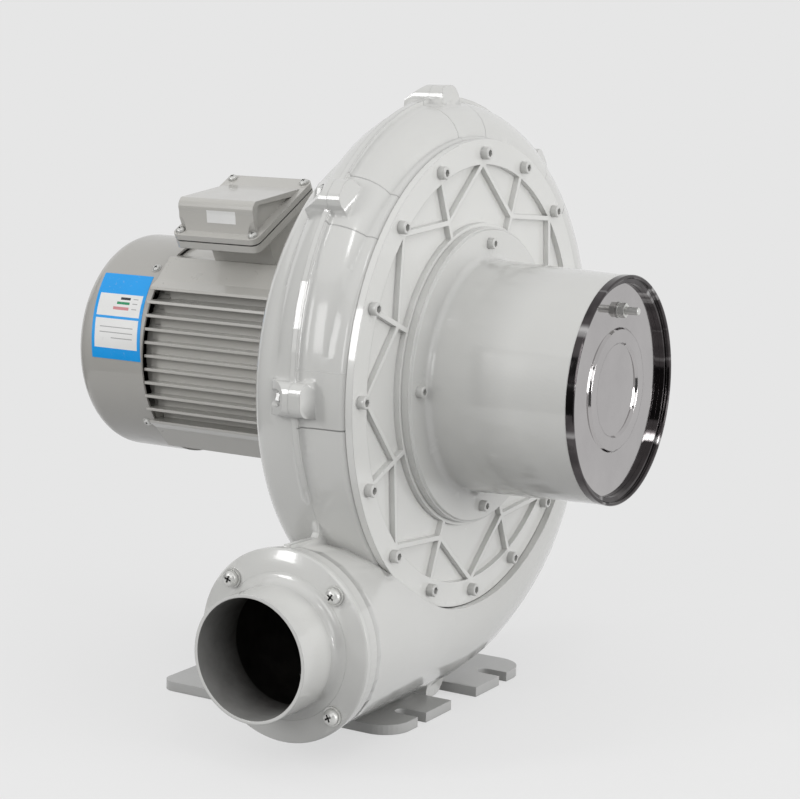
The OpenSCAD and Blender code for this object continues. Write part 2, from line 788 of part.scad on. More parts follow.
// Outline of the frame's finned sides in [y, z]: fin tips nearly in line between two raised shoulders
function fin_tip(z) = motor_r - fin_fall * pow(abs(z) / fin_top, 4);

function frame_sides() = concat(
    [for (k = [-8:8]) [fin_tip(fin_top * k / 8), fin_top * k / 8]],
    [ledge, shoulder, [-shoulder[0], shoulder[1]], [-ledge[0], ledge[1]]],
    [for (k = [8:-1:-8]) [-fin_tip(fin_top * k / 8), fin_top * k / 8]],
    [[-ledge[0], -ledge[1]], -shoulder, [shoulder[0], -shoulder[1]], [ledge[0], -ledge[1]]]
);

module frame_blank(grow) {
    on_shaft(-motor_back - grow) cylinder(r = motor_r, h = motor_len + 2 * grow);
    slab(-motor_back - grow, motor_len + 2 * grow) polygon(frame_sides());
}

// Motor frame: barrel with smooth top and bottom and flat fins on both sides
module motor_frame() {
    half = (fins_n - 1) / 2;
    color(motor_color) difference() {
        frame_blank(0);
        on_shaft(-motor_back - 1) cylinder(r = stator_r, h = motor_len + 2);
        on_shaft(-motor_back - 1) cylinder(r = recess_r, h = end_gap + 1);
        for (side = [-1, 1]) for (k = [-half:half - 1]) {
            z = (k + 0.5) * fin_pitch;
            floor_y = sqrt(pow(motor_r - groove_depth, 2) - pow(z, 2));
            translate([-motor_back - 1, side > 0 ? floor_y : -floor_y - 60, shaft_h + z - (fin_pitch - fin_t) / 2])
                cube([motor_len + 2, 60, fin_pitch - fin_t]);
        }
        on_box() translate([0, box_duct_y, -box_h]) cylinder(r = box_duct_r + 2, h = box_h);
        on_shaft(-motor_front - 12) shield_screw_places() cylinder(r = shield_screw_r + tap_gap, h = 14);
        on_shaft(-barrel_back - 1) shield_screw_places() cylinder(r = shield_screw_r + tap_gap, h = 13);
    }
}

module shield_screw_places() {
    for (angle = [30, 150, 210, 330]) clock(angle, shield_screw_ring) children();
}

// Drive-end shield: flange against the casing and the front bearing's housing
module front_shield() {
    depth = motor_front - rear_depth;
    color(motor_color) difference() {
        union() {
            on_shaft(-rear_depth - front_flange_t) cylinder(r = front_flange_r, h = front_flange_t);
            on_shaft(-motor_front) cylinder(r = motor_r, h = depth);
            on_shaft(front_bearing_x - bearing_w / 2 - 3) cylinder(r = bearing_r + 6, h = bearing_w + 6);
        }
        on_shaft(front_bearing_x - bearing_w / 2) cylinder(r = bearing_r, h = bearing_w);
        on_shaft(-motor_front - 20) cylinder(r = shaft_r + 4, h = 40);
        on_shaft(-rear_depth - 20) shield_bolt_places() cylinder(r = shield_bolt_r + hole_gap, h = 30);
        on_shaft(-motor_front - 1) shield_screw_places() {
            cylinder(r = shield_screw_r + hole_gap, h = depth + 2);
            translate([0, 0, front_sink + 1]) cylinder(r = m5_head[0] + hole_gap, h = depth);
        }
    }
}

// Bolts that hold the drive-end shield on the casing
module shield_bolts() {
    color(zinc_color) on_shaft(-rear_depth - front_flange_t) shield_bolt_places() {
        translate([0, 0, -5.3]) hexagon(shield_bolt_r * 13 / 4, 5.3);
        translate([0, 0, -eps]) cylinder(r = shield_bolt_r, h = front_flange_t + case_wall - 1);
    }
}

// Non-drive-end shield: plate in the frame's end with the rear bearing's housing and the cowl lugs
module rear_shield() {
    back = barrel_back + shield_t;
    color(motor_color) difference() {
        union() {
            on_shaft(-back) cylinder(r = recess_r - 0.5, h = shield_t);
            on_shaft(rear_bearing_x - bearing_w / 2 - 3) cylinder(r = bearing_r + 6, h = bearing_w + 6);
            intersection() {
                for (angle = cowl_screw_angles) on_shaft(-cowl_lug_front - ear_len) clock(angle, 0)
                    translate([recess_r - 10, -8, 0]) cube([20, 16, ear_len]);
                on_shaft(-cowl_lug_front - ear_len - 1) cylinder(r = cowl_inner - run_gap, h = ear_len + 2);
            }
        }
        on_shaft(rear_bearing_x - bearing_w / 2) cylinder(r = bearing_r, h = bearing_w);
        on_shaft(-back - 30) cylinder(r = shaft_r + 0.8, h = 60);
        on_shaft(rear_bearing_x) cylinder(r = collar_r + 1, h = 30);
        on_shaft(-back - 1) shield_screw_places() cylinder(r = shield_screw_r + hole_gap, h = shield_t + 2);
        cowl_screw_places() translate([0, 0, -14]) cylinder(r = cowl_screw_r + tap_gap, h = 16);
    }
}

// Screws of both shields: the front ones are sunk in the drive-end shield
module shield_screws() {
    color(zinc_color) {
        on_shaft(-barrel_back - shield_t) shield_screw_places() rotate([180, 0, 0])
            socket_screw(shield_screw_r, shield_t + 10, m5_head);
        on_shaft(-motor_front + front_sink) shield_screw_places()
            socket_screw(shield_screw_r, front_sink + 10, m5_head);
    }
}

// Radial places of the cowl screws, with local z pointing outwards from the cowl's skin
module cowl_screw_places() {
    for (angle = cowl_screw_angles) on_shaft(-cowl_lug_front - ear_len / 2 - 1) clock(angle, 0)
        rotate([0, 90, 0]) translate([0, 0, cowl_r]) children();
}

module stator_core() {
    color(steel_color) on_shaft(core_mid - core_len / 2) difference() {
        cylinder(r = stator_r, h = core_len);
        translate([0, 0, -1]) cylinder(r = rotor_r + air_gap, h = core_len + 2);
    }
}

module stator_windings() {
    color(copper_color) for (x = [core_mid - core_len / 2 - winding_len, core_mid + core_len / 2])
        on_shaft(x) rotate_extrude() polygon([
            [rotor_r + 6, 0], [stator_r - 6, 0], [stator_r - 6, winding_len - 4], [stator_r - 10, winding_len],
            [rotor_r + 10, winding_len], [rotor_r + 6, winding_len - 4]
        ]);
}

module rotor_core() {
    color(steel_color) on_shaft(core_mid - core_len / 2) difference() {
        cylinder(r = rotor_r, h = core_len);
        translate([0, 0, -1]) cylinder(r = collar_r, h = core_len + 2);
    }
}

// Stepped shaft: fan seat, bearing seats, rotor seat, impeller seat and threaded nose
module shaft() {
    back = -(cowl_back - 18);
    color(steel_color) difference() {
        on_shaft() rotate_extrude() polygon([
            [0, back], [fan_bore, back], [fan_bore, rear_bearing_x - bearing_w / 2 - 2],
            [shaft_r, rear_bearing_x - bearing_w / 2 - 2],
            [shaft_r, rear_bearing_x + bearing_w / 2], [collar_r, rear_bearing_x + bearing_w / 2],
            [collar_r, front_bearing_x - bearing_w / 2], [shaft_r, front_bearing_x - bearing_w / 2],
            [shaft_r, wheel_back - 4], [hub_bore, wheel_back - 4],
            [hub_bore, hub_front - 2], [8, hub_front - 2], [8, hub_front + 16], [0, hub_front + 16]
        ]);
        key_slot(key_depth);
    }
}

// Space of the impeller's key from the bottom of its slot outwards
module key_slot(h) {
    on_shaft(wheel_back) translate([hub_bore - key_depth, -key_w / 2, 2]) cube([h, key_w, hub_len - 6]);
}

module bearing_outer_rings() {
    color(steel_color) for (x = [front_bearing_x, rear_bearing_x]) on_shaft(x - bearing_w / 2)
        bearing_race(bearing_r - race_t, bearing_r);
}

module bearing_race(r_in, r_out) {
    difference() {
        ring(r_in, r_out, bearing_w);
        rotate_extrude() translate([race_mid, bearing_w / 2]) circle(r = ball_r + run_gap);
    }
}

module bearing_inner_rings() {
    color(steel_color) for (x = [front_bearing_x, rear_bearing_x]) on_shaft(x - bearing_w / 2)
        bearing_race(shaft_r, shaft_r + race_t);
}

module bearing_balls() {
    color(mirror_color) for (x = [front_bearing_x, rear_bearing_x]) on_shaft(x)
        for (k = [0:8]) rotate([0, 0, k * 40]) translate([race_mid, 0, 0]) sphere(r = ball_r);
}

module shaft_seal() {
    color(dark_color) on_shaft(-rear_depth) difference() {
        cylinder(r = rear_hole_r, h = case_wall);
        translate([0, 0, -1]) cylinder(r = shaft_r + seat_gap, h = case_wall + 2);
    }
}

// Impeller hub with the flange that the back plate is riveted to
module impeller_hub() {
    color("#a9acb0") on_shaft(wheel_back) difference() {
        union() {
            cylinder(r = hub_r, h = hub_len);
            translate([0, 0, -4]) cylinder(r = hub_r + 14, h = 4);
        }
        translate([0, 0, -5]) cylinder(r = hub_bore, h = hub_len + 6);
        translate([0, -key_w / 2, -5]) cube([hub_bore + key_depth, key_w, hub_len + 6]);
    }
}

module impeller_back_plate() {
    color("#a9acb0") on_shaft(wheel_back) ring(hub_r, wheel_r, plate_t);
}

// One backward-leaning blade as an arc between the eye and the rim
module blade_outline() {
    steps = 10;
    inner = inner_edge_r;
    function mid_line(t) = let (r = inner + (wheel_r - 1 - inner) * t, a = -blade_lean * (1 - pow(1 - t, 1.6)))
        [r * cos(a), r * sin(a)];
    function side_point(t, s) = let (d = mid_line(min(t + 0.02, 1)) - mid_line(max(t - 0.02, 0)), u = d / norm(d))
        mid_line(t) + s * blade_t / 2 * [-u[1], u[0]];
    polygon(concat(
        [for (k = [0:steps]) side_point(k / steps, 1)],
        [for (k = [steps:-1:0]) side_point(k / steps, -1)]
    ));
}

module impeller_blades() {
    color("#a9acb0") on_shaft(wheel_back + plate_t) intersection() {
        rotate_extrude() polygon([
            [inner_edge_r - 6, 0], [wheel_r + 2, 0], [wheel_r + 2, wheel_rim_w - 2 * plate_t],
            [wheel_r, wheel_rim_w - 2 * plate_t], [eye_r + 4, wheel_eye_w - 2 * plate_t],
            [inner_edge_r - 6, wheel_eye_w - 2 * plate_t]
        ]);
        for (k = [0:blades_n - 1]) rotate([0, 0, k * 360 / blades_n])
            linear_extrude(height = wheel_eye_w) blade_outline();
    }
}

// Shroud: cone from the rim to the eye with a short neck round the inlet bell
module impeller_shroud() {
    rim_z = wheel_rim_w - plate_t;
    eye_z = wheel_eye_w - plate_t;
    color("#a9acb0") on_shaft(wheel_back) rotate_extrude() polygon([
        [wheel_r, rim_z], [wheel_r, rim_z + plate_t], [eye_r + 4 + plate_t, eye_z + plate_t],
        [eye_r + plate_t, eye_z + plate_t + 3], [eye_r + plate_t, eye_z + 9], [eye_r, eye_z + 9],
        [eye_r, eye_z + 3], [eye_r + 4, eye_z]
    ]);
}

module impeller_key() {
    color(steel_color) key_slot(2 * key_depth - 0.2);
}

module impeller_nut() {
    color(steel_color) on_shaft(hub_front) difference() {
        union() {
            cylinder(r = 16, h = 2);
            translate([0, 0, 2 - eps]) hexagon(24, 10);
        }
        translate([0, 0, -1]) cylinder(r = 8 + tap_gap, h = 14);
    }
}

// Plastic cooling fan with straight radial blades
module cooling_fan() {
    back = -(cowl_back - 16);
    color(dark_color) on_shaft(back) difference() {
        union() {
            cylinder(r = 17, h = 26);
            translate([0, 0, 22]) cylinder(r = fan_r - 6, h = 3);
            for (k = [0:6]) rotate([0, 0, k * 360 / 7]) translate([14, -1.5, 4])
                cube([fan_r - 14, 3, 20]);
        }
        translate([0, 0, -1]) cylinder(r = fan_bore, h = 40);
    }
}

// Fan cowl: rounded can with a slotted rear face
module fan_cowl() {
    round_r = 18;
    color(motor_color) difference() {
        on_shaft() rotate_extrude() polygon(concat(
            [[0, -cowl_back]],
            [for (a = [0:10:90]) [cowl_r - round_r + round_r * sin(a), -cowl_back + round_r - round_r * cos(a)]],
            [[cowl_r, -motor_back], [cowl_inner, -motor_back]],
            [for (a = [90:-10:0]) [
                cowl_inner - round_r + round_r * sin(a), -cowl_back + cowl_wall + round_r - round_r * cos(a)
            ]],
            [[0, -cowl_back + cowl_wall]]
        ));
        on_shaft(-cowl_back - 1) for (k = [0:11]) rotate([0, 0, k * 30])
            for (row = [0:3]) let (r = cowl_r - 30 - 12 * row) translate([r, 0, 0])
                cube([5, r * 0.36, 12], center = true);
        cowl_screw_places() translate([0, 0, -5]) cylinder(r = cowl_screw_r + hole_gap, h = 8);
    }
}

module cowl_screws() {
    color(zinc_color) cowl_screw_places() difference() {
        union() {
            cylinder(r = 4.2, h = 1);
            translate([0, 0, 1 - eps]) cylinder(r1 = 4.2, r2 = 2.6, h = 1.4);
            translate([0, 0, -10]) cylinder(r = cowl_screw_r, h = 10 + eps);
        }
        for (turn = [0, 90]) rotate([0, 0, turn]) translate([-2, -0.5, 1]) cube([4, 1, 3]);
    }
}

// Terminal box base: flange on a neck that stands on the motor frame
module terminal_box() {
    color(motor_color) difference() {
        union() {
            on_box() translate([-box_w / 2, -box_l / 2, -box_flange_t]) rounded_slab(box_w, box_l, box_flange_t, 7);
            on_box() translate([-box_neck_w / 2, box_neck_y, -box_h + 40])
                cube([box_neck_w, box_neck_l, box_h - 40 - 2]);
        }
        frame_blank(10);
        on_box() translate([-box_neck_w / 2 + box_wall, box_neck_y + box_wall, box_floor])
            cube([box_neck_w - 2 * box_wall, box_neck_l - 2 * box_wall, box_h]);
        on_box() translate([0, box_duct_y, -box_h]) cylinder(r = box_duct_r, h = box_h);
        on_box() lid_screw_places() translate([0, 0, -10]) cylinder(r = lid_screw_r + tap_gap, h = 12);
        on_box() gland_place() translate([0, 0, -box_wall - 2]) cylinder(r = 8 + tap_gap, h = 20);
    }
}

module rounded_slab(w, l, h, r) {
    linear_extrude(height = h) polygon(concat(
        [for (a = [180:15:270]) [r + r * cos(a), r + r * sin(a)]],
        [for (a = [270:15:360]) [w - r + r * cos(a), r + r * sin(a)]],
        [for (a = [0:15:90]) [w - r + r * cos(a), l - r + r * sin(a)]],
        [for (a = [90:15:180]) [r + r * cos(a), l - r + r * sin(a)]]
    ));
}

module lid_screw_places() {
    for (x = [-1, 1]) for (y = [-1, 1]) translate([x * lid_screw_x, y * lid_screw_y, 0]) children();
}

// Where the cable gland enters, on the far side of the box's neck, with local z pointing out
module gland_place() {
    translate([0, box_neck_y + box_neck_l, -20]) rotate([-90, 0, 0]) children();
}

module terminal_gasket() {
    color(dark_color) on_box() difference() {
        translate([-box_w / 2 + 1, -box_l / 2 + 1, 0]) rounded_slab(box_w - 2, box_l - 2, gasket_t, 6);
        translate([-box_neck_w / 2 + 2, box_neck_y + 2, -1]) cube([box_neck_w - 4, box_neck_l - 4, 4]);
        lid_screw_places() translate([0, 0, -1]) cylinder(r = lid_screw_r + hole_gap, h = 4);
    }
}

// Lid: flange with a wedge-shaped hood, sunk side panels and pockets for the screw heads
module terminal_lid() {
    half = box_w / 2 - hood_edge;
    color(motor_color) on_box() translate([0, 0, gasket_t]) difference() {
        union() {
            translate([-box_w / 2, -box_l / 2, 0]) rounded_slab(box_w, box_l, lid_flange_t, 7);
            hood(half, 0);
        }
        translate([0, 0, -eps]) hood(half - 2 * lid_wall, lid_wall);
        for (side = [0, 1]) mirror([side, 0, 0]) translate([half - lid_wall, 0, 0]) rotate([90, 0, 90])
            linear_extrude(height = lid_wall + 1) intersection() {
                polygon(hood_profile(hood_edge));
                translate([-box_l / 2, lid_flange_t]) square([box_l, hood_h]);
            }
        lid_screw_places() translate([0, 0, -1]) cylinder(r = lid_screw_r + hole_gap, h = 60);
        lid_screw_places() translate([0, 0, lid_flange_t]) cylinder(r = hood_edge, h = 60);
    }
}

// Side outline of the hood in [y, z]: leaning front, rounded brow and a top that falls to the back
function hood_profile(cut) = let (front = hood_edge - box_l / 2 + cut, top = hood_h - cut, r = hood_round - cut / 2)
    concat(
        [[front, 0]],
        [for (a = [180:-15:90]) [front + hood_lean + r + r * cos(a), top - r + r * sin(a)]],
        [[box_l / 2 - hood_back - 2.5 * cut, lid_flange_t], [box_l / 2 - hood_back - 2.5 * cut, 0]]
    );

module hood(half, cut) {
    translate([-half, 0, 0]) rotate([90, 0, 90]) linear_extrude(height = 2 * half) polygon(hood_profile(cut));
}

module lid_screws() {
    color(zinc_color) on_box() translate([0, 0, gasket_t + lid_flange_t]) lid_screw_places()
        socket_screw(lid_screw_r, lid_flange_t + gasket_t + 5, [3.8, 3.2]);
}

module terminal_board() {
    color(dark_color) on_box() translate([-20, box_duct_y - 24, box_floor]) difference() {
        cube([40, 40, 5]);
        translate([20, 24, -1]) cylinder(r = 8, h = 8);
        post_places() translate([0, 0, -1]) cylinder(r = 2 + tap_gap, h = 8);
    }
}

module post_places() {
    for (x = [6, 20, 34]) for (y = [6, 36]) translate([x, y, 0]) children();
}

module terminal_posts() {
    color("#c8a24a") on_box() translate([-20, box_duct_y - 24, box_floor]) post_places() {
        cylinder(r = 2, h = 18);
        translate([0, 0, 5]) hexagon(7, 3);
    }
}

module cable_gland() {
    color(dark_color) on_box() gland_place() difference() {
        union() {
            translate([0, 0, -box_wall]) cylinder(r = 8, h = box_wall + 1);
            hexagon(22, 6);
            translate([0, 0, 6 - eps]) cylinder(r = 10, h = 8);
            translate([0, 0, 14 - 2 * eps]) cylinder(r1 = 10, r2 = 7, h = 4);
        }
        translate([0, 0, -10]) cylinder(r = 4.5, h = 40);
    }
}

rear_casing();
front_casing();
clamp_bolts();
inlet_cover();
cover_screws();
inlet_pipe();
inlet_flange_screws();
inlet_cone();
inlet_cap_band();
inlet_cap_disc();
cap_stud();
cap_nut();
outlet_spigot();
outlet_gasket();
outlet_screws();
base_foot();
base_bolts();
motor_frame();
front_shield();
shield_bolts();
rear_shield();
shield_screws();
stator_core();
stator_windings();
rotor_core();
shaft();
bearing_outer_rings();
bearing_inner_rings();
bearing_balls();
shaft_seal();
impeller_hub();
impeller_back_plate();
impeller_blades();
impeller_shroud();
impeller_key();
impeller_nut();
cooling_fan();
fan_cowl();
cowl_screws();
terminal_box();
terminal_gasket();
terminal_lid();
lid_screws();
terminal_board();
terminal_posts();
cable_gland();
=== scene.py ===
"""Finish and surroundings of a centrifugal fan with a cast scroll casing and a flanged motor."""

import json
import math

import bmesh
import bpy
from bpy.props import FloatProperty, FloatVectorProperty, IntProperty, PointerProperty
from mathutils import Matrix, Vector
from mathutils.bvhtree import BVHTree


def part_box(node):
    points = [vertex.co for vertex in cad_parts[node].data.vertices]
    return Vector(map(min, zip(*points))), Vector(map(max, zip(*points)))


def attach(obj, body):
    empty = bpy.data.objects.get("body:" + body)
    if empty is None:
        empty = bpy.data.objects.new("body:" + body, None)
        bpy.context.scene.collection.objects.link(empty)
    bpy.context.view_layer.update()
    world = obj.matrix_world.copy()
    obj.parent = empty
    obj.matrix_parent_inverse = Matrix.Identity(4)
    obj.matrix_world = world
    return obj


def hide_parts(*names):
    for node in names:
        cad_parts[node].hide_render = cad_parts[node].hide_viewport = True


bl_info = {
    "name": "Centrifugal Fan Finish",
    "version": (1, 0, 0),
    "blender": (4, 5, 0),
    "location": "3D View > Sidebar > Fan",
    "description": "Paint, metal, fasteners and stage for a centrifugal fan",
    "category": "Object",
}

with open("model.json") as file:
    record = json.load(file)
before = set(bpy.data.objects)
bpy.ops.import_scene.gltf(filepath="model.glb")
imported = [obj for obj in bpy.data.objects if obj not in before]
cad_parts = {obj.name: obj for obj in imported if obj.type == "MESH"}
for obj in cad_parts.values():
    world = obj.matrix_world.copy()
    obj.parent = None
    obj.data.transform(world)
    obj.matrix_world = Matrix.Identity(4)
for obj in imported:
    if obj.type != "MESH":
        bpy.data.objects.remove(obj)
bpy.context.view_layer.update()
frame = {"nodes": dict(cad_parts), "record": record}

# Sizes and colours


def colour(label, text, red, green, blue):
    """A colour that the sidebar shows, with its linear default."""
    return FloatVectorProperty(
        name=label, description=text, subtype="COLOR", size=3, min=0, max=1, default=(red, green, blue)
    )


def length(label, text, metres, low=0.0, high=1.0):
    """A length that the sidebar shows, in metres."""
    return FloatProperty(
        name=label, description=text, default=metres, min=low, max=high, precision=5, unit="LENGTH"
    )


def number(label, text, value, low=0.0, high=1.0):
    """A plain number that the sidebar shows, such as a share or a level."""
    return FloatProperty(name=label, description=text, default=value, min=low, max=high)


def angle(label, text, degrees):
    """An angle that the sidebar shows, given in degrees."""
    return FloatProperty(name=label, description=text, subtype="ANGLE", default=math.radians(degrees))


def watts(label, text, value):
    """The power of one light."""
    return FloatProperty(name=label, description=text, default=value, min=0, unit="POWER")


class FanPaint(bpy.types.PropertyGroup):
    """Colours and grain of the painted and bare surfaces."""

    cast: colour("Casting paint", "Sprayed paint of the casing and pipes", 0.60, 0.60, 0.583)
    motor: colour("Motor paint", "Paint of the finned frame and the terminal box", 0.49, 0.48, 0.452)
    cowl: colour("Cowl paint", "Paint of the pressed cowl", 0.40, 0.39, 0.367)
    base: colour("Base paint", "Paint of the foot plates", 0.42, 0.42, 0.412)
    # Near-black tone of the insides: the bare casting darkened as painted shade
    skin: colour("Casting skin", "Unpainted inside of the casing", 0.03, 0.0275, 0.025)
    cover: number("Cover paint", "How much lighter than the casing the cover is", 1.13, 0.5, 1.5)
    screw: number("Screw paint", "How light the painted screws are beside the casing", 0.96, 0.5, 1.5)
    gloss: number("Paint roughness", "Roughness of the sprayed paint", 0.2, 0.05)
    edge: length("Cast edge", "Rounding that light shows on cast edges", 0.0012, 0, 0.005)
    peel: length("Orange peel", "Depth of the fine ripple in the paint", 0.00006, 0, 0.001)
    swell: length("Cast swell", "Depth of the slow ripple left by the mould", 0.00012, 0, 0.002)
    root: length("Root fillet", "Radius of the hollow round the outlet pipe's root", 0.008, 0.002, 0.009)
    pad: length("Pad height", "Step of the raised pads between the lugs and the cover", 0.0012, 0, 0.003)
    pad_half: angle("Pad half angle", "Half the turn that one raised pad covers", 6.2)
    pad_low: length("Pad limit", "Lowest place of a pad, from the shaft's axis", -0.036, -0.3, 0.3)
    # Depth over which the outlet's paint fades into the painted shade inside it
    shade_falloff: length("Overspray", "How far the paint reaches into the outlet", 0.052, 0, 0.2)


class FanPlates(bpy.types.PropertyGroup):
    """Places, sizes and colours of the printed plate and label."""

    ground: colour("Plate blue", "Ground of the plate on the cowl", 0.002, 0.33, 0.82)
    panel: colour("Panel white", "Panels of the plate, and the bare label", 0.78, 0.78, 0.77)
    start: length("Plate start", "Place of the plate's top left corner along the shaft", -0.2735, -1, 1)
    width: length("Plate width", "Width of the plate along the shaft", 0.0505)
    slant: length("Plate slant", "How far the plate's foot lies back from its head", 0.006)
    head: angle("Plate head", "Clock angle of the plate's upper edge", 93.2)
    foot: angle("Plate foot", "Clock angle of the plate's lower edge", 46.4)
    label_low: length("Label foot", "Height of the label's lower edge on the lid", 0.0135)
    label_tall: length("Label height", "Height of the label", 0.0095)
    label_start: length("Label start", "Left edge of the label from the lid's middle", -0.009, -0.1, 0.1)
    label_wide: length("Label width", "Width of the label", 0.028)


class FanFasteners(bpy.types.PropertyGroup):
    """Sizes of the screws that are made here and stand in the CAD screws' places."""

    crown: number("Crown", "Rounded share of a pan head's height", 0.62, 0.1, 0.9)
    chamfer: number("Chamfer", "Chamfered share of a socket or hexagon head's height", 0.14, 0.02, 0.3)
    key: number("Key size", "Socket across flats as a share of the head's width", 0.52, 0.3, 0.7)
    cross: number("Cross width", "Cross recess as a share of the head's width", 0.48, 0.3, 0.8)
    depth: number("Recess depth", "Recess as a share of the head's height", 0.55, 0.2, 0.9)
    collar: number("Head on washer", "Head's radius as a share of its washer's", 0.8, 0.5, 1)
    sides: IntProperty(name="Sides", description="Sides of a round head", default=28, min=12, max=64)
    seed: IntProperty(name="Seed", description="Start of the chance turn of each screw", default=3, min=0)


class FanStage(bpy.types.PropertyGroup):
    """Floor, light and camera."""

    backdrop: colour("Backdrop", "Pale ground behind the fan", 0.791, 0.791, 0.791)
    floor_size: length("Floor size", "Radius of the floor", 8.0, 1, 20)
    key_power: watts("Key light", "Large light on the front right", 4.5)
    window_power: watts("Window light", "Upright light on the left", 8.8)
    top_power: watts("Top light", "Small light above on the right", 2.5)
    front_power: watts("Front light", "Low light before the cover", 16)
    outlet_power: watts("Outlet light", "Light straight before the outlet", 8)
    sky: number("Sky", "Level of the even light from all round", 0.74, 0, 2)
    shade: number("Shadow share", "Share of the floor's tone that shadows can't darken", 0.72)
    card: number("Dark card", "Level of the dark card that is mirrored in front", 0.09)
    turn: angle("Camera turn", "Angle of the view round the fan", 30.6458)
    rise: angle("Camera rise", "Angle of the view above level", 9.2021)
    roll: angle("Camera roll", "Lean of the camera", 1.4282)
    away: length("Camera distance", "From the point looked at to the camera", 1.6964, 0.5, 5)
    aim: FloatVectorProperty(
        name="Aim", description="Point that the camera looks at", subtype="TRANSLATION",
        default=(-0.02723, 0.0, 0.24552),
    )
    lens: number("Lens", "Focal length in millimetres on a 36 mm sensor", 93.312, 20, 200)


def middle_of(node):
    """The middle of a CAD node's box."""
    return [(low + high) / 2 for low, high in zip(*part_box(node))]


def axis_height():
    """Height of the shaft's axis above the floor."""
    return middle_of("shaft")[2]


# Shader pieces


def add(tree, kind, settings=None, **inputs):
    """A node with its settings, and inputs given by name as numbers or as links."""
    made = tree.nodes.new(kind)
    for name, value in (settings or {}).items():
        setattr(made, name, value)
    fill(tree, made, **inputs)
    return made


def fill(tree, node, **inputs):
    """Sets or links a node's inputs by name."""
    for name, value in inputs.items():
        feed(tree, node.inputs[name.replace("_", " ")], value)


def feed(tree, socket, value):
    """Sets a socket, or links it where the value is itself a socket."""
    if isinstance(value, bpy.types.NodeSocket):
        tree.links.new(value, socket)
    else:
        socket.default_value = value


def sum_of(tree, operation, *values):
    """The result of one Math node."""
    made = add(tree, "ShaderNodeMath", {"operation": operation})
    for socket, value in zip(made.inputs, values):
        feed(tree, socket, value)
    return made.outputs[0]


def times(tree, first, second):
    """Two values multiplied."""
    return sum_of(tree, "MULTIPLY", first, second)


def joined(tree, **axes):
    """A vector from its X, Y and Z."""
    return add(tree, "ShaderNodeCombineXYZ", **axes).outputs[0]


def spread(tree, value, low, high, out_low, out_high):
    """A value moved from one range to another, and held inside it."""
    ends = {"From_Min": low, "From_Max": high, "To_Min": out_low, "To_Max": out_high}
    return add(tree, "ShaderNodeMapRange", Value=value, **ends).outputs["Result"]


def blank(name):
    """A new material with only its output and a Principled shader."""
    material = bpy.data.materials.new(name)
    material.use_nodes = True
    tree = material.node_tree
    tree.nodes.clear()
    surface = tree.nodes.new("ShaderNodeBsdfPrincipled")
    end = tree.nodes.new("ShaderNodeOutputMaterial")
    tree.links.new(surface.outputs["BSDF"], end.inputs["Surface"])
    return material, tree, surface


def show(tree, shader):
    """Makes a shader the one that the material shows."""
    tree.links.new(shader.outputs[0], tree.nodes["Material Output"].inputs["Surface"])


def in_object(tree):
    """The place in the shared frame, as the Object coordinates."""
    return tree.nodes.new("ShaderNodeTexCoord").outputs["Object"]


def parts_of(tree, vector):
    """The X, Y and Z sockets of a vector."""
    split = tree.nodes.new("ShaderNodeSeparateXYZ")
    feed(tree, split.inputs[0], vector)
    return split.outputs["X"], split.outputs["Y"], split.outputs["Z"]


def noise(tree, scale, detail=2.0, roughness=0.5, where=None):
    """Noise over Object coordinates, as its factor."""
    made = add(tree, "ShaderNodeTexNoise", Scale=scale, Detail=detail, Roughness=roughness)
    feed(tree, made.inputs["Vector"], where or in_object(tree))
    return made.outputs["Fac"]


def grain(tree, low, high, *pattern):
    """Noise of a scale, detail and roughness, as a value from low to high."""
    return spread(tree, noise(tree, *pattern), 0.3, 0.7, low, high)


def bevel(tree, radius, samples=4):
    """The normal with edges rounded by a radius."""
    return add(tree, "ShaderNodeBevel", {"samples": samples}, Radius=radius).outputs["Normal"]


def openness(tree, reach):
    """Open share of the space round a place: low in corners and recesses."""
    settings = {"samples": 6, "only_local": False}
    return add(tree, "ShaderNodeAmbientOcclusion", settings, Distance=reach).outputs["AO"]


def direct_rays(tree):
    """1 for camera, transmission and glossy rays, 0 for those that only bring light."""
    path = tree.nodes.new("ShaderNodeLightPath").outputs
    mirrored = sum_of(tree, "MAXIMUM", path["Is Transmission Ray"], path["Is Glossy Ray"])
    return sum_of(tree, "MAXIMUM", path["Is Camera Ray"], mirrored)


def tint(tree, base, factor, amount):
    """A colour made darker or lighter by a factor round one half."""
    level = spread(tree, factor, 0.3, 0.7, 1 - amount, 1 + amount)
    scaled = add(tree, "ShaderNodeVectorMath", {"operation": "SCALE"}, Scale=level)
    feed(tree, scaled.inputs[0], base if isinstance(base, bpy.types.NodeSocket) else base[:3])
    return scaled.outputs[0]


def mixed(tree, factor, first, second):
    """Two colours mixed by a factor."""
    made = add(tree, "ShaderNodeMix", {"data_type": "RGBA"}, Factor=factor)
    feed(tree, made.inputs[6], first)
    feed(tree, made.inputs[7], second)
    return made.outputs[2]


def edge_share(tree, rounded, low=0.1, high=0.4):
    """How far the rounded normal leans away from the true one: 1 on sharp edges."""
    flat = tree.nodes.new("ShaderNodeNewGeometry").outputs["True Normal"]
    lean = add(tree, "ShaderNodeVectorMath", {"operation": "DOT_PRODUCT"})
    feed(tree, lean.inputs[0], rounded)
    feed(tree, lean.inputs[1], flat)
    return spread(tree, sum_of(tree, "SUBTRACT", 1.0, lean.outputs["Value"]), low, high, 0, 1)


def bumps(tree, start, *layers):
    """Bump layers, each (height, distance), one on top of the other."""
    normal = start
    for height, distance in layers:
        made = add(tree, "ShaderNodeBump", Strength=1.0, Distance=distance, Height=height)
        if normal is not None:
            feed(tree, made.inputs["Normal"], normal)
        normal = made.outputs["Normal"]
    return normal


